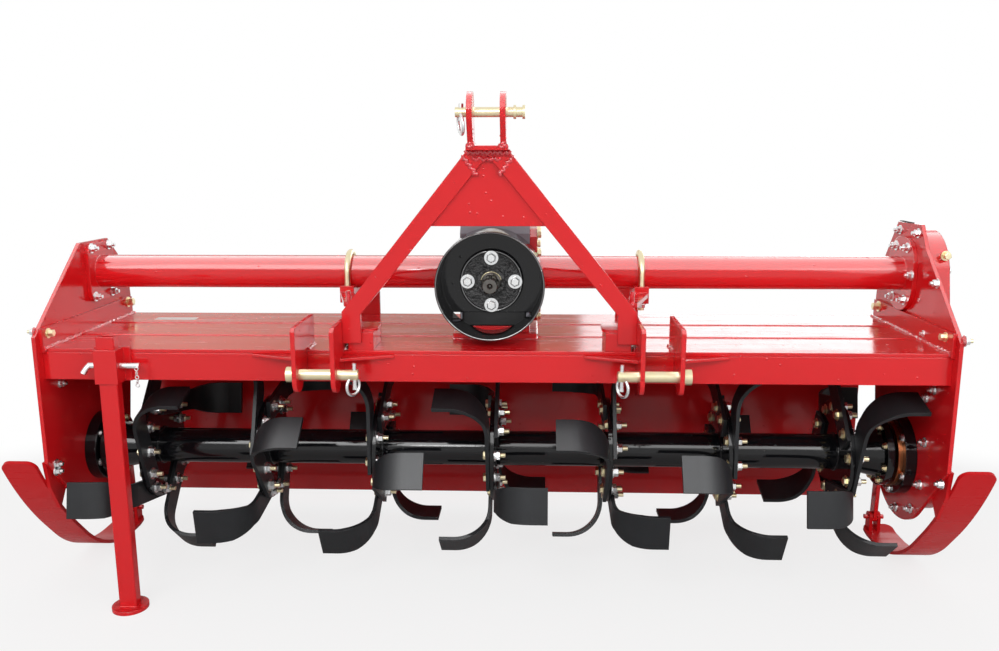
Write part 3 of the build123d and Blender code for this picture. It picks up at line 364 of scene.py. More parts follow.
world = bpy.data.worlds.new("studio")
bpy.context.scene.world = world
world.use_nodes = True
world.node_tree.nodes.clear()
node = partial(add, world.node_tree)
seen, clear = white_rays(node)
soft, white = [node("ShaderNodeBackground", {"Color": linear("#FFFFFF"), "Strength": level})
               for level in (0.56, 1.0)]
both = node("ShaderNodeMixShader", {0: clear, 1: soft, 2: white})
node("ShaderNodeOutputWorld", {"Surface": both})
print("floor and world are in place")

# %% [markdown]
# Soft boxes light the machine from in front: a key on the left and a weaker fill on the right,
# with one small lamp for crisp glints. Bright cards are there only to be mirrored. The sky card
# draws the pale band along the tubes and is linked to the gloss enamel and the blades alone, since
# plated parts would burn out under it. The cards behind are low, so only the deck, seen at a flat
# angle, shows them: white ones on the right and a warm one, as of earth and wood, on the left.

# %% Lamps and cards
def soft_box(name, place, target, width, height, radiance, mirrored_only=False):
    """A lamp that faces its target, unseen by the camera; radiance 1 looks paper white."""
    lamp = bpy.data.lights.new(name, "AREA")
    lamp.shape, lamp.size, lamp.size_y = "RECTANGLE", width, height
    lamp.energy = radiance * math.pi * width * height
    light = bpy.data.objects.new(name, lamp)
    light.location = place
    light.rotation_euler = (Vector(target) - Vector(place)).to_track_quat("-Z", "Y").to_euler()
    light.visible_camera, light.visible_diffuse = False, not mirrored_only
    bpy.context.scene.collection.objects.link(light)
    return light


soft_box("key_box", (-1.6, -3.4, 3.2), (0, 0, 0.5), 2.4, 2.4, 3.6)
soft_box("fill_box", (2.6, -2.6, 1.9), (0, 0, 0.5), 2.0, 2.0, 2.5)
soft_box("glint_box", (-0.5, -3.6, 2.2), (0, 0, 0.4), 0.45, 0.45, 22.0)
sky_card = soft_box("sky_card", (0, -1.2, 3.6), (0, -1.2, 0), 9.0, 9.6, 5.0, mirrored_only=True)
enamelled = bpy.data.collections.new("enamelled")
for part in frame["record"]["subparts"]:
    painted = part["material_slot"] in ("red_enamel", "black_enamel", "blade_steel")
    if painted and not part["node"].startswith("skid"):
        enamelled.objects.link(frame["nodes"][part["node"]])
sky_card.light_linking.receiver_collection = enamelled
for left_edge, right_edge, radiance in ((0.42, 0.82, 1.4), (0.82, 4.2, 2.2)):
    middle_x = (left_edge + right_edge) / 2
    soft_box("rear_card", (middle_x, 3.9, 1.5), (middle_x, 0, 1.5), right_edge - left_edge, 1.6,
             radiance, mirrored_only=True)
warm, node, place = new_finish("warm_card")
shade = ramp(node, node("ShaderNodeSeparateXYZ", {0: place}).outputs["X"], -2.2, -0.2, 0.0, 1.0)
glow = node("ShaderNodeEmission", {
    "Color": mixed(node, shade, "#F7DCC8", "#C2A58A"), "Strength": 1.0})
node("ShaderNodeOutputMaterial", {"Surface": glow})
card_corners = [mm(x, 3900, z) for x, z in ((-4200, 1200), (400, 1200), (400, 1900), (-4200, 1900))]
warm_card = placed_mesh("warm_card", card_corners, [(0, 1, 2, 3)], warm)
warm_card.visible_camera = warm_card.visible_diffuse = warm_card.visible_shadow = False

# %% [markdown]
# ## Fasteners
# A farm machine is bolted by the hundred with the same few shapes: a washer, a hexagon and the
# end of a thread. Each could be placed by hand, but Geometry Nodes can set one on every point of
# a mesh. The points carry which way each bolt faces and how big it is. The tree builds the
# washer, the chamfered hexagon and the thread end once, puts them on the points, turns each by
# a random angle, as a spanner leaves it, and makes them real.

# %% The fastener tree
def geometry_tree(name, **inputs):
    """A geometry tree with these inputs, what they give, and how to add a node or a sum."""
    tree = bpy.data.node_groups.new(name, "GeometryNodeTree")
    for title, value in inputs.items():
        kind = "Float" if isinstance(value, float) else value
        socket = tree.interface.new_socket(
            name=title.replace("_", " "), in_out="INPUT", socket_type="NodeSocket" + kind)
        if isinstance(value, float):
            socket.default_value = value
    tree.interface.new_socket(name="Geometry", in_out="OUTPUT", socket_type="NodeSocketGeometry")
    node = partial(add, tree)
    return tree, node("NodeGroupInput").outputs, node, partial(total_of, node)


def round_wire(node, path, sides, radius):
    """A round section of so many sides swept along a path."""
    profile = node("GeometryNodeCurvePrimitiveCircle", {"Resolution": sides, "Radius": radius},
                   mode="RADIUS")
    return node("GeometryNodeCurveToMesh", {
        "Curve": path, "Profile Curve": profile, "Fill Caps": True})


fastener_tree, given, node, total = geometry_tree(
    "fasteners", Points="Geometry", Washer=0.2, Head=0.8, Thread=0.1, Washer_Radius=1.35,
    Head_Finish="Material", Thread_Finish="Material")
washer = node("GeometryNodeMeshCylinder", {
    "Vertices": 20, "Radius": given["Washer Radius"], "Depth": given["Washer"]})
hexagon = node("GeometryNodeMeshCylinder", {"Vertices": 6, "Radius": 1.0, "Depth": given["Head"]})
crown = node("GeometryNodeMeshCone", {
    "Vertices": 6, "Radius Top": 0.8, "Radius Bottom": 1.0, "Depth": 0.12})
thread = node("GeometryNodeMeshCylinder", {"Vertices": 12, "Radius": 0.5, "Depth": given["Thread"]})
head_middle = total("ADD", given["Washer"], total("MULTIPLY", given["Head"], 0.5))
head_top = total("ADD", given["Washer"], given["Head"])
thread_middle = total("ADD", head_top, total("MULTIPLY", given["Thread"], 0.5))
bolt = node("GeometryNodeJoinGeometry")
for mesh, height, is_thread in ((washer, total("MULTIPLY", given["Washer"], 0.5), False),
                                (hexagon, head_middle, False), (crown, head_top, False),
                                (thread, thread_middle, True)):
    lift = node("ShaderNodeCombineXYZ", {2: height})
    moved = node("GeometryNodeTransform", {"Geometry": mesh, "Translation": lift})
    marked = node("GeometryNodeStoreNamedAttribute", {
        "Geometry": moved, "Name": "thread", "Value": is_thread},
        data_type="BOOLEAN", domain="FACE")
    fastener_tree.links.new(marked.outputs[0], bolt.inputs[0])
facing = node("GeometryNodeInputNamedAttribute", {"Name": "facing"}, data_type="FLOAT_VECTOR")
size = node("GeometryNodeInputNamedAttribute", {"Name": "size"}, data_type="FLOAT")
aim = node("FunctionNodeAlignRotationToVector", {"Vector": facing}, axis="Z")
spin = node("FunctionNodeRandomValue", {3: math.tau, "Seed": 7}, data_type="FLOAT")
spin_angle = next(s for s in spin.outputs if s.enabled)
spanner = node("FunctionNodeAxisAngleToRotation", {"Axis": (0, 0, 1), "Angle": spin_angle})
turned = node("FunctionNodeRotateRotation", {0: aim, 1: spanner}, rotation_space="LOCAL")
many = node("GeometryNodeInstanceOnPoints", {
    "Points": given["Points"], "Instance": bolt, "Rotation": turned, "Scale": size})
real = node("GeometryNodeRealizeInstances", {0: many})
heads = node("GeometryNodeSetMaterial", {"Geometry": real, "Material": given["Head Finish"]})
is_thread = node("GeometryNodeInputNamedAttribute", {"Name": "thread"}, data_type="BOOLEAN")
threads = node("GeometryNodeSetMaterial", {
    "Geometry": heads, "Selection": is_thread, "Material": given["Thread Finish"]})
node("NodeGroupOutput", {0: threads})
print("fastener tree has", len(fastener_tree.nodes), "nodes")

# %% [markdown]
# The tree runs as a modifier. Its inputs are set by their identifiers before Blender first
# evaluates it. The result becomes a plain mesh that rides on a body, and the modifier is gone.

# %% Run a tree and keep its mesh
def grown(name, source, tree, body, **values):
    """Run a geometry tree on a mesh with these inputs, and keep the result as a plain piece."""
    holder = bpy.data.objects.new("holder", source)
    bpy.context.scene.collection.objects.link(holder)
    modifier = holder.modifiers.new("grow", "NODES")
    sockets = {s.name: s.identifier for s in tree.interface.items_tree if s.in_out == "INPUT"}
    modifier.node_group = tree
    for key, value in values.items():
        modifier[sockets[key.replace("_", " ")]] = value
    graph = bpy.context.evaluated_depsgraph_get()
    mesh = bpy.data.meshes.new_from_object(holder.evaluated_get(graph), depsgraph=graph)
    bpy.data.objects.remove(holder)
    mesh.name = name
    worn = [0] * len(mesh.polygons)
    mesh.polygons.foreach_get("material_index", worn)
    kept = [index for index, finish in enumerate(mesh.materials) if finish and index in worn]
    finishes = [mesh.materials[index] for index in kept]
    mesh.materials.clear()
    for finish in finishes:
        mesh.materials.append(finish)
    mesh.polygons.foreach_set("material_index", [kept.index(index) for index in worn])
    piece = bpy.data.objects.new(name, mesh)
    bpy.context.scene.collection.objects.link(piece)
    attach(piece, body)
    print(name, "has", len(mesh.polygons), "faces on", body)
    return piece


def fasteners(name, body, rows, head_finish, thread_finish, **sizes):
    """Bolts or nuts at rows of (X, Y, Z, facing, across corners / 2), in millimetres."""
    points = bpy.data.meshes.new("points")
    points.from_pydata([tuple(mm(*row[:3])) for row in rows], [], [])
    points.attributes.new("facing", "FLOAT_VECTOR", "POINT")
    points.attributes.new("size", "FLOAT", "POINT")
    points.attributes["facing"].data.foreach_set("vector", [x for row in rows for x in row[3]])
    points.attributes["size"].data.foreach_set("value", [row[4] / 1000 for row in rows])
    return grown(name, points, fastener_tree, body,
                 Head_Finish=head_finish, Thread_Finish=thread_finish, **sizes)


X_RIGHT, X_LEFT, Y_FRONT, Z_DOWN = (1, 0, 0), (-1, 0, 0), (0, -1, 0), (0, 0, -1)

# %% [markdown]
# ### Bolts of the rotor
# Each of the seven flanges carries six blades on twelve bolts, every 30 degrees on one circle.
# The heads sit on the left and the nuts, with a good length of thread, on the right. A blade
# under a nut or a head lifts it by the blade's thickness.

# %% Rotor bolts
flange_pitch, flange_half, blade_thick, bolt_circle = 262.0, 5.0, 8.0, 104.0
flanges, holes = 7, 12
first_hole, flange_turn = 20, 20  # degrees
heads, nuts = [], []
for step in range(flanges):
    x = (step - flanges // 2) * flange_pitch
    for hole in range(holes):
        angle = math.radians(first_hole + flange_turn * step + 360 / holes * hole)
        y, z = around(rotor, bolt_circle, angle)
        under_right = hole % 4 in (1, 2)
        heads.append((x - flange_half - (0 if under_right else blade_thick), y, z, X_LEFT, 10.0))
        nuts.append((x + flange_half + (blade_thick if under_right else 0), y, z, X_RIGHT, 10.0))
fasteners("blade_bolt_heads", "rotor", heads, yellow_zinc, yellow_zinc,
          Washer=0.05, Head=0.55, Thread=0.04)
fasteners("blade_nuts", "rotor", nuts, clear_zinc, yellow_zinc, Washer=0.3, Head=0.95, Thread=1.25)

# %% [markdown]
# ### Bolts of the hood
# The tube flanges, side plates, gearbox cover and chain case are held by plated set screws.

# %% Bolts on the plates
plate_in = corners("side_plate_right")[0].x
plate_out = plate_in + 8
flange_thick = 10
left_flange = [(dy, dz) for dy in (-45, 38) for dz in (-54, 58)]
right_flange = ((30, 60), (-32, 61), (-65, 3), (29, -58), (-35, -56), (62, 4))
nuts = [(flange_thick - plate_in, tube.y + dy, tube.z + dz, X_RIGHT, 8.5) for dy, dz in left_flange]
nuts += [(plate_in - flange_thick, tube.y + dy, tube.z + dz, X_LEFT, 8.5)
         for dy, dz in right_flange]
nuts += [(plate_in, y, z, X_LEFT, 8.0) for y, z in (
    (-7, 795), (91, 794), (-118, 700), (173, 602), (-93, 588), (-118, 452),
    (-151, 479), (-131, 357), (-127, 259), (-223, 298), (-15, 161), (-91, 189))]
nuts += [(-plate_in, y, z, X_RIGHT, 8.0)
         for y, z in ((-163, 483), (-211, 316), (-213, 301), (60, 180), (-90, 180))]
fasteners("plate_nuts", "frame", nuts, clear_zinc, clear_zinc, Washer=0.25, Head=0.95, Thread=0.8)
deck_flange = plate_in - 8
gold_bolts = [(deck_flange, -195, 602, X_LEFT, 7.5), (deck_flange, 160, 603, X_LEFT, 9.5),
              (-deck_flange, -205, 602, X_RIGHT, 8.0), (-deck_flange, 168, 605, X_RIGHT, 9.5),
              (979, -44, 749.6, Y_FRONT, 8.0)]
fasteners("flange_bolts", "frame", gold_bolts, yellow_zinc, yellow_zinc,
          Washer=0.3, Head=1.3, Thread=0.05)
outside = [(plate_out, -238, 603, X_RIGHT, 8.5), (-plate_out, -226, 609, X_LEFT, 7.0),
           (-plate_out, 168, 605, X_LEFT, 8.5)]
outside += [(-plate_out, tube.y + dy, tube.z + dz, X_LEFT, 8.5) for dy, dz in left_flange]
fasteners("outer_nuts", "frame", outside, clear_zinc, yellow_zinc,
          Washer=0.25, Head=0.9, Thread=0.8)

# %% [markdown]
# The chain case's cover and both bearing rings carry their bolts on a line of their own outline,
# so their places follow from circles and tangents.

# %% Bolts on the case, the bearings and the gearbox
case_out = corners("case_cover")[1].x
big_r, small_r = 104, 77
lean = math.atan2(tube.z - rotor.z, tube.y - rotor.y)
reach = math.hypot(tube.z - rotor.z, tube.y - rotor.y)
spread = math.acos((big_r - small_r) / reach)
rim = []
for share in range(7):
    rim.append(around(tube, small_r, lean - spread + 2 * spread * share / 6))
    rim.append(around(rotor, big_r, lean + spread + (math.tau - 2 * spread) * share / 6))
for turn in (lean - spread, lean + spread):
    ends = list(zip(around(tube, small_r, turn), around(rotor, big_r, turn)))
    rim += [tuple((1 - share) * a + share * b for a, b in ends) for share in (1 / 4, 1 / 2, 3 / 4)]
case_bolts = [(case_out, y, z, X_RIGHT, 8) for y, z in rim]
fasteners("case_bolts", "frame", case_bolts, clear_zinc, clear_zinc,
          Washer=0.2, Head=0.3, Thread=0.05)

gear_low, gear_high = corners("gear_side_cover")
inset = 11
columns = (gear_low.y + inset, (gear_low.y + gear_high.y) / 2, gear_high.y - inset)
gold = [(gear_high.x, y, z, X_RIGHT, 8.5)
        for y in columns for z in (gear_low.z + inset, gear_high.z - inset)]
gold += [(gear_high.x, y, z, X_RIGHT, 8.5)
         for y in columns[::2] for z in (gear_low.z + 62, gear_low.z + 152)]
fasteners("gear_cover_bolts", "frame", gold, yellow_zinc, yellow_zinc,
          Washer=0.2, Head=0.75, Thread=0.06)

ring_bolts, ring_bolt_count = [], 6
right_face, right_circle, left_face, left_circle = plate_in - 24, 84.5, 26 - plate_in, 66
for hole in range(ring_bolt_count):
    angle = math.radians(20 + 360 / ring_bolt_count * hole)
    ring_bolts.append((right_face, *around(rotor, right_circle, angle), X_LEFT, 7))
    ring_bolts.append((left_face, *around(rotor, left_circle, angle), X_RIGHT, 7))
fasteners("bearing_bolts", "frame", ring_bolts, clear_zinc, clear_zinc,
          Washer=0.18, Head=0.7, Thread=0.05)
hub_bolts = [(x, *around(rotor, 65, math.radians(15 + 45 * hole)), facing, 6.5)
             for x, facing in ((-885.0, X_RIGHT), (878.0, X_LEFT)) for hole in range(8)]
fasteners("hub_bolts", "rotor", hub_bolts, yellow_zinc, yellow_zinc,
          Washer=0.15, Head=0.8, Thread=0.3)

# %% [markdown]
# ### The bearing cap's four large bolts
# They sit half way out on the cap, on thick plain washers, and are the brightest thing in the
# black shield. Below them a black lower housing fills the shield's window.

# %% Cap bolts
cap_front = corners("bearing_cap")[0].y
cap_face, cap_circle = cap_front + 10, 51
cap_bolts = [(cap_circle * dx, cap_face, tube.z + cap_circle * dz, Y_FRONT, 10.5)
             for dx, dz in ((0, 1), (-1, 0), (1, 0), (0, -1))]
fasteners("cap_bolts", "frame", cap_bolts, clear_zinc, clear_zinc,
          Washer=0.32, Head=0.62, Thread=0.04, Washer_Radius=1.46)

# %% [markdown]
# ### Saddle nuts
# The braces' brackets are clamped to the cross tubes by U-bolts, and their nuts show below. Two
# more nuts face the front on the left bracket.

# %% Saddle nuts
bolt_low, bolt_high = corners("u_bolts")
saddle_low = corners("brace_left")[0].z
saddle_x = 334.0
saddle = [(side * saddle_x, y, saddle_low, Z_DOWN, 9.5)
          for side in (-1, 1) for y in (bolt_low.y + 6, bolt_high.y - 6)]
saddle += [(-288, -182, 611, Y_FRONT, 8), (-309.5, -182, 574, Y_FRONT, 8)]
fasteners("saddle_nuts", "frame", saddle, clear_zinc, yellow_zinc,
          Washer=0.25, Head=0.8, Thread=0.2)

# %% [markdown]
# ## Weld beads
# The hood is welded by hand, and the enamel lies over the beads. A bead is a row of small
# overlapping ripples, so a tube along a line does not do. This tree resamples a line finely,
# lets the radius swell and shrink with the length run, wanders a little, and sweeps a circle.

# %% The weld tree
def finished(node, geometry, finish):
    """The tree's end: real geometry with its finish."""
    real = node("GeometryNodeRealizeInstances", {0: geometry})
    coated = node("GeometryNodeSetMaterial", {"Geometry": real, "Material": finish})
    node("NodeGroupOutput", {0: coated})


weld_tree, given, node, total = geometry_tree(
    "weld_bead", Lines="Geometry", Bead_Radius=0.004, Ripple=0.005, Finish="Material")
line = node("GeometryNodeMeshToCurve", {0: given["Lines"]})
step = total("MULTIPLY", given["Ripple"], 0.25)
fine = node("GeometryNodeResampleCurve", {"Curve": line, "Length": step}, mode="LENGTH")
run = node("GeometryNodeSplineParameter").outputs["Length"]
wave = total("SINE", total("MULTIPLY", total("DIVIDE", run, given["Ripple"]), math.tau))
hand = node("ShaderNodeTexNoise", {"Scale": per_metre(14), "Detail": 1.0})
swell = total("ADD", total("MULTIPLY", wave, 0.13), total("MULTIPLY", hand, 0.7))
wide = node("GeometryNodeSetCurveRadius", {"Curve": fine, "Radius": total("ADD", swell, 0.65)})
wander = node("ShaderNodeVectorMath", {0: hand.outputs["Color"], 1: (-0.5, -0.5, -0.5)},
              operation="ADD")
far = total("MULTIPLY", given["Bead Radius"], 1.2)
push = node("ShaderNodeVectorMath", {0: wander, "Scale": far}, operation="SCALE")
laid = node("GeometryNodeSetPosition", {"Geometry": wide, "Offset": push})
bead = round_wire(node, laid, 8, given["Bead Radius"])
finished(node, node("GeometryNodeSetShadeSmooth", {0: bead}), given["Finish"])


def welds(name, lines, radius, body="frame", finish=bead_enamel):
    """Beads along lines of (X, Y, Z) points in millimetres."""
    points = [mm(*p) for line in lines for p in line]
    edges, first = [], 0
    for line in lines:
        edges += [(first + i, first + i + 1) for i in range(len(line) - 1)]
        first += len(line)
    mesh = bpy.data.meshes.new("lines")
    mesh.from_pydata([tuple(p) for p in points], edges, [])
    enamelled.objects.link(grown(name, mesh, weld_tree, body,
                                 Bead_Radius=radius / 1000, Ripple=0.0045, Finish=finish))


print("weld tree has", len(weld_tree.nodes), "nodes")

# %% [markdown]
# The longest beads join the deck to its end flanges. Others run round the cap of the mast, at
# the feet of the hitch plates, along the foot of the gearbox base and round each rotor flange.

# %% Lay the beads
def ring(x, radius, count=40):
    """A closed ring of points about the rotor's axis."""
    return [(x, *around(rotor, radius, i * math.tau / count)) for i in range(count + 1)]


deck_top = 572.0
beads = []
for side, clevis in ((-1, "clevis_left"), (1, "clevis_right")):
    x = side * deck_flange
    beads.append([(x, deck_low.y + 4, deck_top), (x, deck_high.y - 4, deck_top)])
    clevis_rear = corners(clevis)[1].y - 2
    for x in (298.5, 307.5, 375.5, 384.5):
        beads.append([(side * x, -214, deck_top), (side * x, clevis_rear, deck_top)])
    x = side * saddle_x
    beads.append([(x - 14, -8, saddle_low + 20), (x + 14, -8, saddle_low + 20)])
    beads.append([(side * 292, -186, 632), (side * 292, -186, 690)])
welds("hood_welds", beads, 5.2)
base_low, base_high = corners("gear_base")
foot = [(x, y, deck_top) for x, y in (
    (base_low.x, base_low.y), (base_high.x, base_low.y), (base_high.x, base_high.y),
    (base_low.x, base_high.y), (base_low.x, base_low.y))]
welds("base_weld", [foot], 2.6)


def weave(start, end, half_width, pitch):
    """A welder's zigzag between two points, in the plane that faces the front."""
    start, end = Vector(start), Vector(end)
    side = (end - start).cross(Vector((0, 1, 0))).normalized() * half_width
    steps = max(2, round((end - start).length / pitch))
    return [tuple(start + (end - start) * i / steps + side * (-1) ** i) for i in range(steps + 1)]


cap_top, cap_edge, mast_face = 984.5, -262.0, -230.0
cap_beads = [
    weave((-44, mast_face, cap_top - 13), (44, mast_face, cap_top - 13), 3.5, 5),
    weave((-50, mast_face + 2, cap_top - 20), (-22, mast_face + 1, cap_top - 56), 3, 6),
    weave((50, mast_face + 2, cap_top - 20), (22, mast_face + 1, cap_top - 56), 3, 6),
    weave((-30, mast_face + 2, cap_top - 25), (26, mast_face + 2, cap_top - 25), 3, 7)]
for side in (-1, 1):
    cap_beads += [[(side * x, y, cap_top) for y in (-264, -204)] for x in (26, 37)]
    x = side * 31.5
    cap_beads.append(weave((x, cap_edge, cap_top - 5), (x, cap_edge - 4, cap_top + 34), 3, 4))
welds("cap_welds", cap_beads, 4.0)
tube_rings = []
for step in range(flanges):
    x = (step - flanges // 2) * flange_pitch
    tube_rings += [ring(x - flange_half, 41), ring(x + flange_half, 41)]
welds("rotor_welds", tube_rings, 3.4, body="rotor", finish=black_enamel)

# %% [markdown]
# ## Springs
# Each rod that holds the tailgate down carries a coil spring between two collars. The CAD model
# has a sleeve of bulges there. A real spring is one wire on a helix whose last turns are closed
# and lie flat on the collars, which is easy to write down as a rule.

# %% The spring tree
spring_tree, given, node, total = geometry_tree(
    "coil_spring", Axis_Line="Geometry", Turns=0.0, Coil_Radius=0.0, Wire_Radius=0.0, Length=0.0,
    Finish="Material")
closed_share = 0.09
helix = node("GeometryNodeCurveSpiral", {
    "Resolution": 28, "Rotations": given["Turns"], "Start Radius": given["Coil Radius"],
    "End Radius": given["Coil Radius"], "Height": 1.0})
place = node("ShaderNodeSeparateXYZ", {0: node("GeometryNodeInputPosition")}).outputs
ends = ramp(node, place["Z"], closed_share, 1 - closed_share, 0.0, 1.0)
free = total("SUBTRACT", given["Length"], total("MULTIPLY", given["Wire Radius"], 6.0))
slope = total("MULTIPLY", given["Wire Radius"], 22.2)
low_end = total("MULTIPLY", total("MINIMUM", place["Z"], closed_share), slope)
top_share = total("MAXIMUM", total("SUBTRACT", place["Z"], 1 - closed_share), 0.0)
both_ends = total("ADD", low_end, total("MULTIPLY", top_share, slope))
rise = total("ADD", total("MULTIPLY", ends, free), both_ends)
rise = total("ADD", rise, given["Wire Radius"])
height = node("ShaderNodeCombineXYZ", {0: place["X"], 1: place["Y"], 2: rise})
wound = node("GeometryNodeSetPosition", {"Geometry": helix, "Position": height})
coil = round_wire(node, wound, 10, given["Wire Radius"])
smooth = node("GeometryNodeSetShadeSmooth", {0: coil})
along = node("GeometryNodeInputNamedAttribute", {"Name": "facing"}, data_type="FLOAT_VECTOR")
aim = node("FunctionNodeAlignRotationToVector", {"Vector": along}, axis="Z")
stood = node("GeometryNodeInstanceOnPoints", {
    "Points": given["Axis Line"], "Instance": smooth, "Rotation": aim})
finished(node, stood, given["Finish"])
print("spring tree has", len(spring_tree.nodes), "nodes")

# %% [markdown]
# The spring's own CAD node tells where it starts and how long it is along the leaning rod.

# %% Wind the springs
rod_lean = Vector((0, -57.0, 320.0)).normalized()
spring_wire = 2.6
for side in ("left", "right"):
    low, high = corners("spring_" + side)
    thick = (high.x - low.x) / 2
    length = (high.z - low.z - 2 * thick * -rod_lean.y) / rod_lean.z
    foot = Vector(((low.x + high.x) / 2, high.y - thick * rod_lean.z, low.z + thick * -rod_lean.y))
    points = bpy.data.meshes.new("points")
    points.from_pydata([tuple(foot / 1000)], [], [])
    facing = points.attributes.new("facing", "FLOAT_VECTOR", "POINT")
    facing.data.foreach_set("vector", list(rod_lean))
    spring = grown("coil_spring_" + side, points, spring_tree, "gate_rod_" + side, Turns=12.0,
                   Coil_Radius=(thick - spring_wire) / 1000, Wire_Radius=spring_wire / 1000,
                   Length=length / 1000, Finish=spring_coat)
    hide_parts("spring_" + side)

# %% [markdown]
# ## The splined input shaft
# The tractor's drive shaft slides on six splines and locks in a groove behind them. The shaft is
# turned with a centre hole in its end. It is one skin of rings: each ring is a circle, or the
# six-spline section, and the next one follows along the axis.

# %% The splined shaft
def spline_radius(angle, root, tip):
    """The radius of a six-spline section at an angle: flat roots, steep flanks, round tips."""
    place = (angle / math.tau * 6) % 1.0
    flank = min(max((abs(place - 0.5) - 0.20) / 0.05, 0.0), 1.0)
    return root + (tip - root) * flank


def lathe_rings(name, rings, axis_point, finish, body, section=72):
    """A closed skin through rings of (Y, tip radius, root radius) about an axis along Y."""
    verts, faces = [], []
    for y, tip, root in rings:
        for i in range(section):
            angle = i * math.tau / section
            radius = tip if root is None else spline_radius(angle, root, tip)
            x = axis_point[0] + radius * math.cos(angle)
            verts.append(mm(x, y, axis_point[1] + radius * math.sin(angle)))
    for low in range(0, (len(rings) - 1) * section, section):
        for i in range(section):
            k, high = (i + 1) % section, low + section
            faces.append((low + i, low + k, high + k, high + i))
    faces.append(tuple(range(section))[::-1])
    faces.append(tuple((len(rings) - 1) * section + i for i in range(section)))
    piece = placed_mesh(name, verts, faces, finish)
    tidy = bmesh.new()
    tidy.from_mesh(piece.data)
    bmesh.ops.recalc_face_normals(tidy, faces=tidy.faces)
    tidy.to_mesh(piece.data)
    tidy.free()
    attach(piece, body)
    return piece


shaft_low, shaft_high = corners("input_shaft")
tip_y = shaft_low.y
tip_r, root_r, collar_r = 17.4, 14.5, 21.0
shaft_rings = [(tip_y + along, tip, root) for along, tip, root in (
    (9, 2.2, None), (7, 4.0, None), (2.2, 4.2, None), (0, 6.4, None), (0, 14.6, None),
    (2.2, 16.9, 14.4), (3.0, tip_r, root_r), (20, tip_r, root_r), (20.6, 15.0, None),
    (27, 14.6, None), (27.6, tip_r, root_r), (57, tip_r, root_r), (60, tip_r, 16.4),
    (60.2, tip_r, None), (62, 20.5, None), (62.6, collar_r, None))]
shaft_rings.append((shaft_high.y, collar_r, None))
shaft = lathe_rings("splined_shaft", shaft_rings, (0, tube.z), machined_steel, "input_shaft")
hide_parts("input_shaft")
print("shaft from Y", round(tip_y), "to", round(shaft_high.y))

# %% [markdown]
# ## Linch pins
# Each hitch pin is locked by a linch pin: a short steel pin through its end, with a sprung ring
# that snaps round. They hang as they fall. The wire shapes are swept along a few points.

# %% Wire sweeps
def wire(name, lines, radius, finish, body, order=3, closed=False, sides=3):
    """Round wire along smooth lines through points in millimetres, as one plain piece."""
    curve = bpy.data.curves.new(name, "CURVE")
    curve.dimensions, curve.use_fill_caps = "3D", True
    curve.bevel_depth, curve.bevel_resolution = radius / 1000, sides
    curve.resolution_u = 8
    for line in lines:
        spline = curve.splines.new("NURBS")
        spline.points.add(len(line) - 1)
        for point, place in zip(spline.points, line):
            point.co = (*mm(*place), 1)
        spline.order_u, spline.use_endpoint_u, spline.use_cyclic_u = order, not closed, closed
    holder = bpy.data.objects.new("holder", curve)
    bpy.context.scene.collection.objects.link(holder)
    graph = bpy.context.evaluated_depsgraph_get()
    mesh = bpy.data.meshes.new_from_object(holder.evaluated_get(graph))
    bpy.data.objects.remove(holder)
    mesh.name = name
    mesh.materials.clear()
    mesh.materials.append(finish)
    mesh.polygons.foreach_set("use_smooth", [True] * len(mesh.polygons))
    piece = bpy.data.objects.new(name, mesh)
    bpy.context.scene.collection.objects.link(piece)
    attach(piece, body)
    print(name, "has", len(mesh.polygons), "faces")
    return piece


def circle_points(centre, first, second, radius, start=0.0, sweep=math.tau, count=12):
    """Points on an arc in the plane of two directions."""
    centre, first, second = Vector(centre), Vector(first), Vector(second)
    angles = [start + sweep * i / count for i in range(count + (abs(sweep) < math.tau - 0.01))]
    return [tuple(centre + radius * (first * math.cos(a) + second * math.sin(a))) for a in angles]


pins, rings = [], []
hitch = middle("lower_pin_left")
for side in (-1, 1):
    x = side * 266.0
    pins.append([(x, hitch.y, hitch.z + dz) for dz in (24, 0, -30)])
    rings.append(circle_points((x, hitch.y - 14, hitch.z - 19), (0, 0, -1), (0.5 * side, -0.86, 0),
                               19, start=-2.5, sweep=5.0))
top_pin = middle("top_pin")
top_x = corners("top_pin")[0].x + 11
pins.append([(top_x, top_pin.y, top_pin.z + dz) for dz in (16, 0, -16)])
rings.append(circle_points((top_x, top_pin.y - 11, top_pin.z - 22), (0.1, 0, -1),
                           (0.3, -0.95, 0), 20, start=-2.6, sweep=5.2))
wire("linch_pins", pins, 4.8, clear_zinc, "frame", order=2)
wire("linch_rings", rings, 3.1, clear_zinc, "frame")

# %% [markdown]
# Other round stock and rims come from the same sweep: the U-bolts, the grip of the stand's pin,
# the lip of the shaft seal, the rolled rims of cap and shield, and the heads of the hitch pins.

# %% Round stock and rims
bends, bend_r = [], 45.5
for x in (-saddle_x, saddle_x):
    bow = circle_points((x, tube.y, tube.z), (0, -1, 0), (0, 0, 1), bend_r, sweep=math.pi)
    bends.append([(x, tube.y - bend_r, bolt_low.z), *bow, (x, tube.y + bend_r, bolt_low.z)])
thick_bends = wire("u_bolt_bends", bends, 7.2, yellow_zinc, "frame")
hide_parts("u_bolts")
grip = middle("stand_pin")
grip_x = corners("stand_pin")[0].x
wire("stand_pin_grip", [[(grip_x + dx, grip.y + dy, grip.z + dz)
                         for dx, dy, dz in ((4, 0, 0), (-2, -3, -3), (-8, -8, -16))]],
     6.5, clear_zinc, "frame")
seal = circle_points((0, cap_front - 0.6, tube.z), (1, 0, 0), (0, 0, 1), 21.8,
                     start=0.2, sweep=math.pi - 0.4)
wire("shaft_seal", [seal], 1.3, yellow_zinc, "frame")
shield_front = corners("pto_shield")[0].y
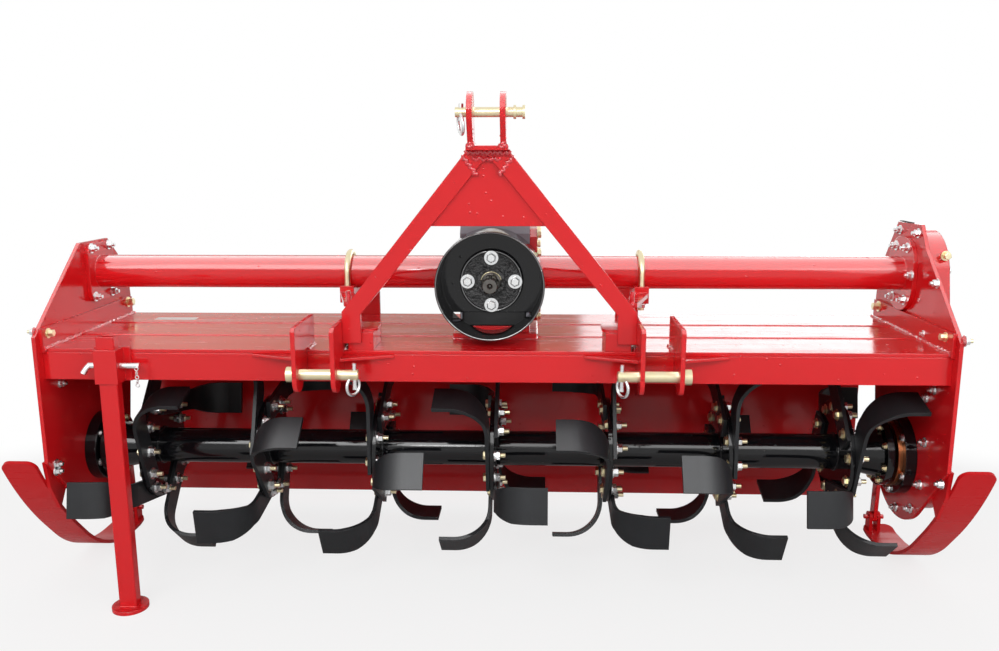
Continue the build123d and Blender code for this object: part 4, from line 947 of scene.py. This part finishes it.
for name, y, radius, thick in (("cap_rim", cap_face + 1.5, 65.0, 3.4),
                               ("shield_rim", shield_front + 1.2, 112.3, 1.9)):
    rim = circle_points((0, y, tube.z), (1, 0, 0), (0, 0, 1), radius, count=40)
    enamelled.objects.link(wire(name, [rim], thick, bead_black, "frame", closed=True))
pin_low, pin_high = corners("lower_pin_right")
pin_heads = [[(outer - 3 * side, hitch.y, hitch.z), (outer + 8 * side, hitch.y, hitch.z)]
             for side, outer in ((-1, corners("lower_pin_left")[0].x), (1, pin_high.x))]
wire("pin_heads", pin_heads, (pin_high.z - pin_low.z) / 2 + 0.8, yellow_zinc, "frame",
     order=2, sides=8)

# %% [markdown]
# ## Black lower housing, gasket and label
# Small plates with broken edges. A bevel modifier rounds them, as a file or a press would.

# %% Plates with broken edges
def plate(name, low, high, finish, body, edge=1.5, corner=0.0):
    """A block between two corners in millimetres, its upright edges cut and all edges rounded."""
    (x0, y0, z0), (x1, y1, z1) = low, high
    c = corner
    outline = [(x0 + c, y0), (x1 - c, y0), (x1, y0 + c), (x1, y1 - c),
               (x1 - c, y1), (x0 + c, y1), (x0, y1 - c), (x0, y0 + c)]
    if not c:
        outline = [(x0, y0), (x1, y0), (x1, y1), (x0, y1)]
    n = len(outline)
    verts = [mm(x, y, z) for z in (z0, z1) for x, y in outline]
    faces = [tuple(range(n))[::-1], tuple(range(n, 2 * n))]
    faces += [(i, (i + 1) % n, n + (i + 1) % n, n + i) for i in range(n)]
    piece = placed_mesh(name, verts, faces, finish)
    rounding = piece.modifiers.new("rounded", "BEVEL")
    rounding.width, rounding.segments, rounding.limit_method = edge / 1000, 3, "ANGLE"
    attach(piece, body)
    return piece


gearbox_low, gearbox_high = corners("gearbox")
housing_low = corners("gear_base")[1].z
plate("lower_housing", (gearbox_low.x - 2, gearbox_low.y - 3, housing_low + 0.2),
      (gearbox_high.x - 2, gearbox_high.y + 3, tube.z - 10), black_casting, "frame", 3.0, 8.0)
plate("blank_label", (-835, 100, deck_top - 0.2), (-733, 134, deck_top + 0.4),
      label_vinyl, "frame", 0.2, 3.0)
plate("case_gasket", (plate_in + 1, tube.y - 10, tube.z + 113.2),
      (plate_in + 10, tube.y + 54, tube.z + 115.2), gasket_paper, "frame", 0.8, 2.0)
print("plates are on")

# %% [markdown]
# ## The stand pin's chain
# A short chain keeps the stand's pin from getting lost. Links repeat along a line, each turned a
# quarter against the last, which is a job for Geometry Nodes again.

# %% The chain tree
chain_tree, given, node, total = geometry_tree(
    "chain", Line="Geometry", Link_Pitch=0.008, Wire_Radius=0.001, Finish="Material")
line = node("GeometryNodeMeshToCurve", {0: given["Line"]})
steps = node("GeometryNodeCurveToPoints", {"Curve": line, "Length": given["Link Pitch"]},
             mode="LENGTH")
oval = node("GeometryNodeCurvePrimitiveCircle", {
    "Resolution": 14, "Radius": total("MULTIPLY", given["Link Pitch"], 0.46)}, mode="RADIUS")
long_oval = node("GeometryNodeTransform", {
    "Geometry": oval, "Rotation": (math.pi / 2, 0, 0), "Scale": (1, 1, 1.5)})
link = round_wire(node, long_oval, 6, given["Wire Radius"])
quarter = total("MULTIPLY", node("GeometryNodeInputIndex"), math.pi / 2)
turn = node("FunctionNodeAxisAngleToRotation", {"Axis": (0, 0, 1), "Angle": quarter})
turned = node("FunctionNodeRotateRotation", {0: steps.outputs["Rotation"], 1: turn},
              rotation_space="LOCAL")
chained = node("GeometryNodeInstanceOnPoints", {
    "Points": steps.outputs["Points"], "Instance": link, "Rotation": turned})
finished(node, chained, given["Finish"])

# %% [markdown]
# The chain hangs straight down from the free end of the pin.

# %% Hang the chain
pin_end = corners("stand_pin")[1].x - 4
hang = [mm(pin_end, grip.y - 7, grip.z - 5 - 7 * i) for i in range(6)]
hang_line = bpy.data.meshes.new("chain_line")
hang_line.from_pydata([tuple(p) for p in hang], [(i, i + 1) for i in range(len(hang) - 1)], [])
grown("stand_pin_chain", hang_line, chain_tree, "frame", Link_Pitch=0.008, Wire_Radius=0.0011,
      Finish=clear_zinc)

# %% [markdown]
# ## Finish
# The last cell sets the view transform to Standard.

# %% Finish
bpy.context.scene.view_settings.view_transform = "Standard"
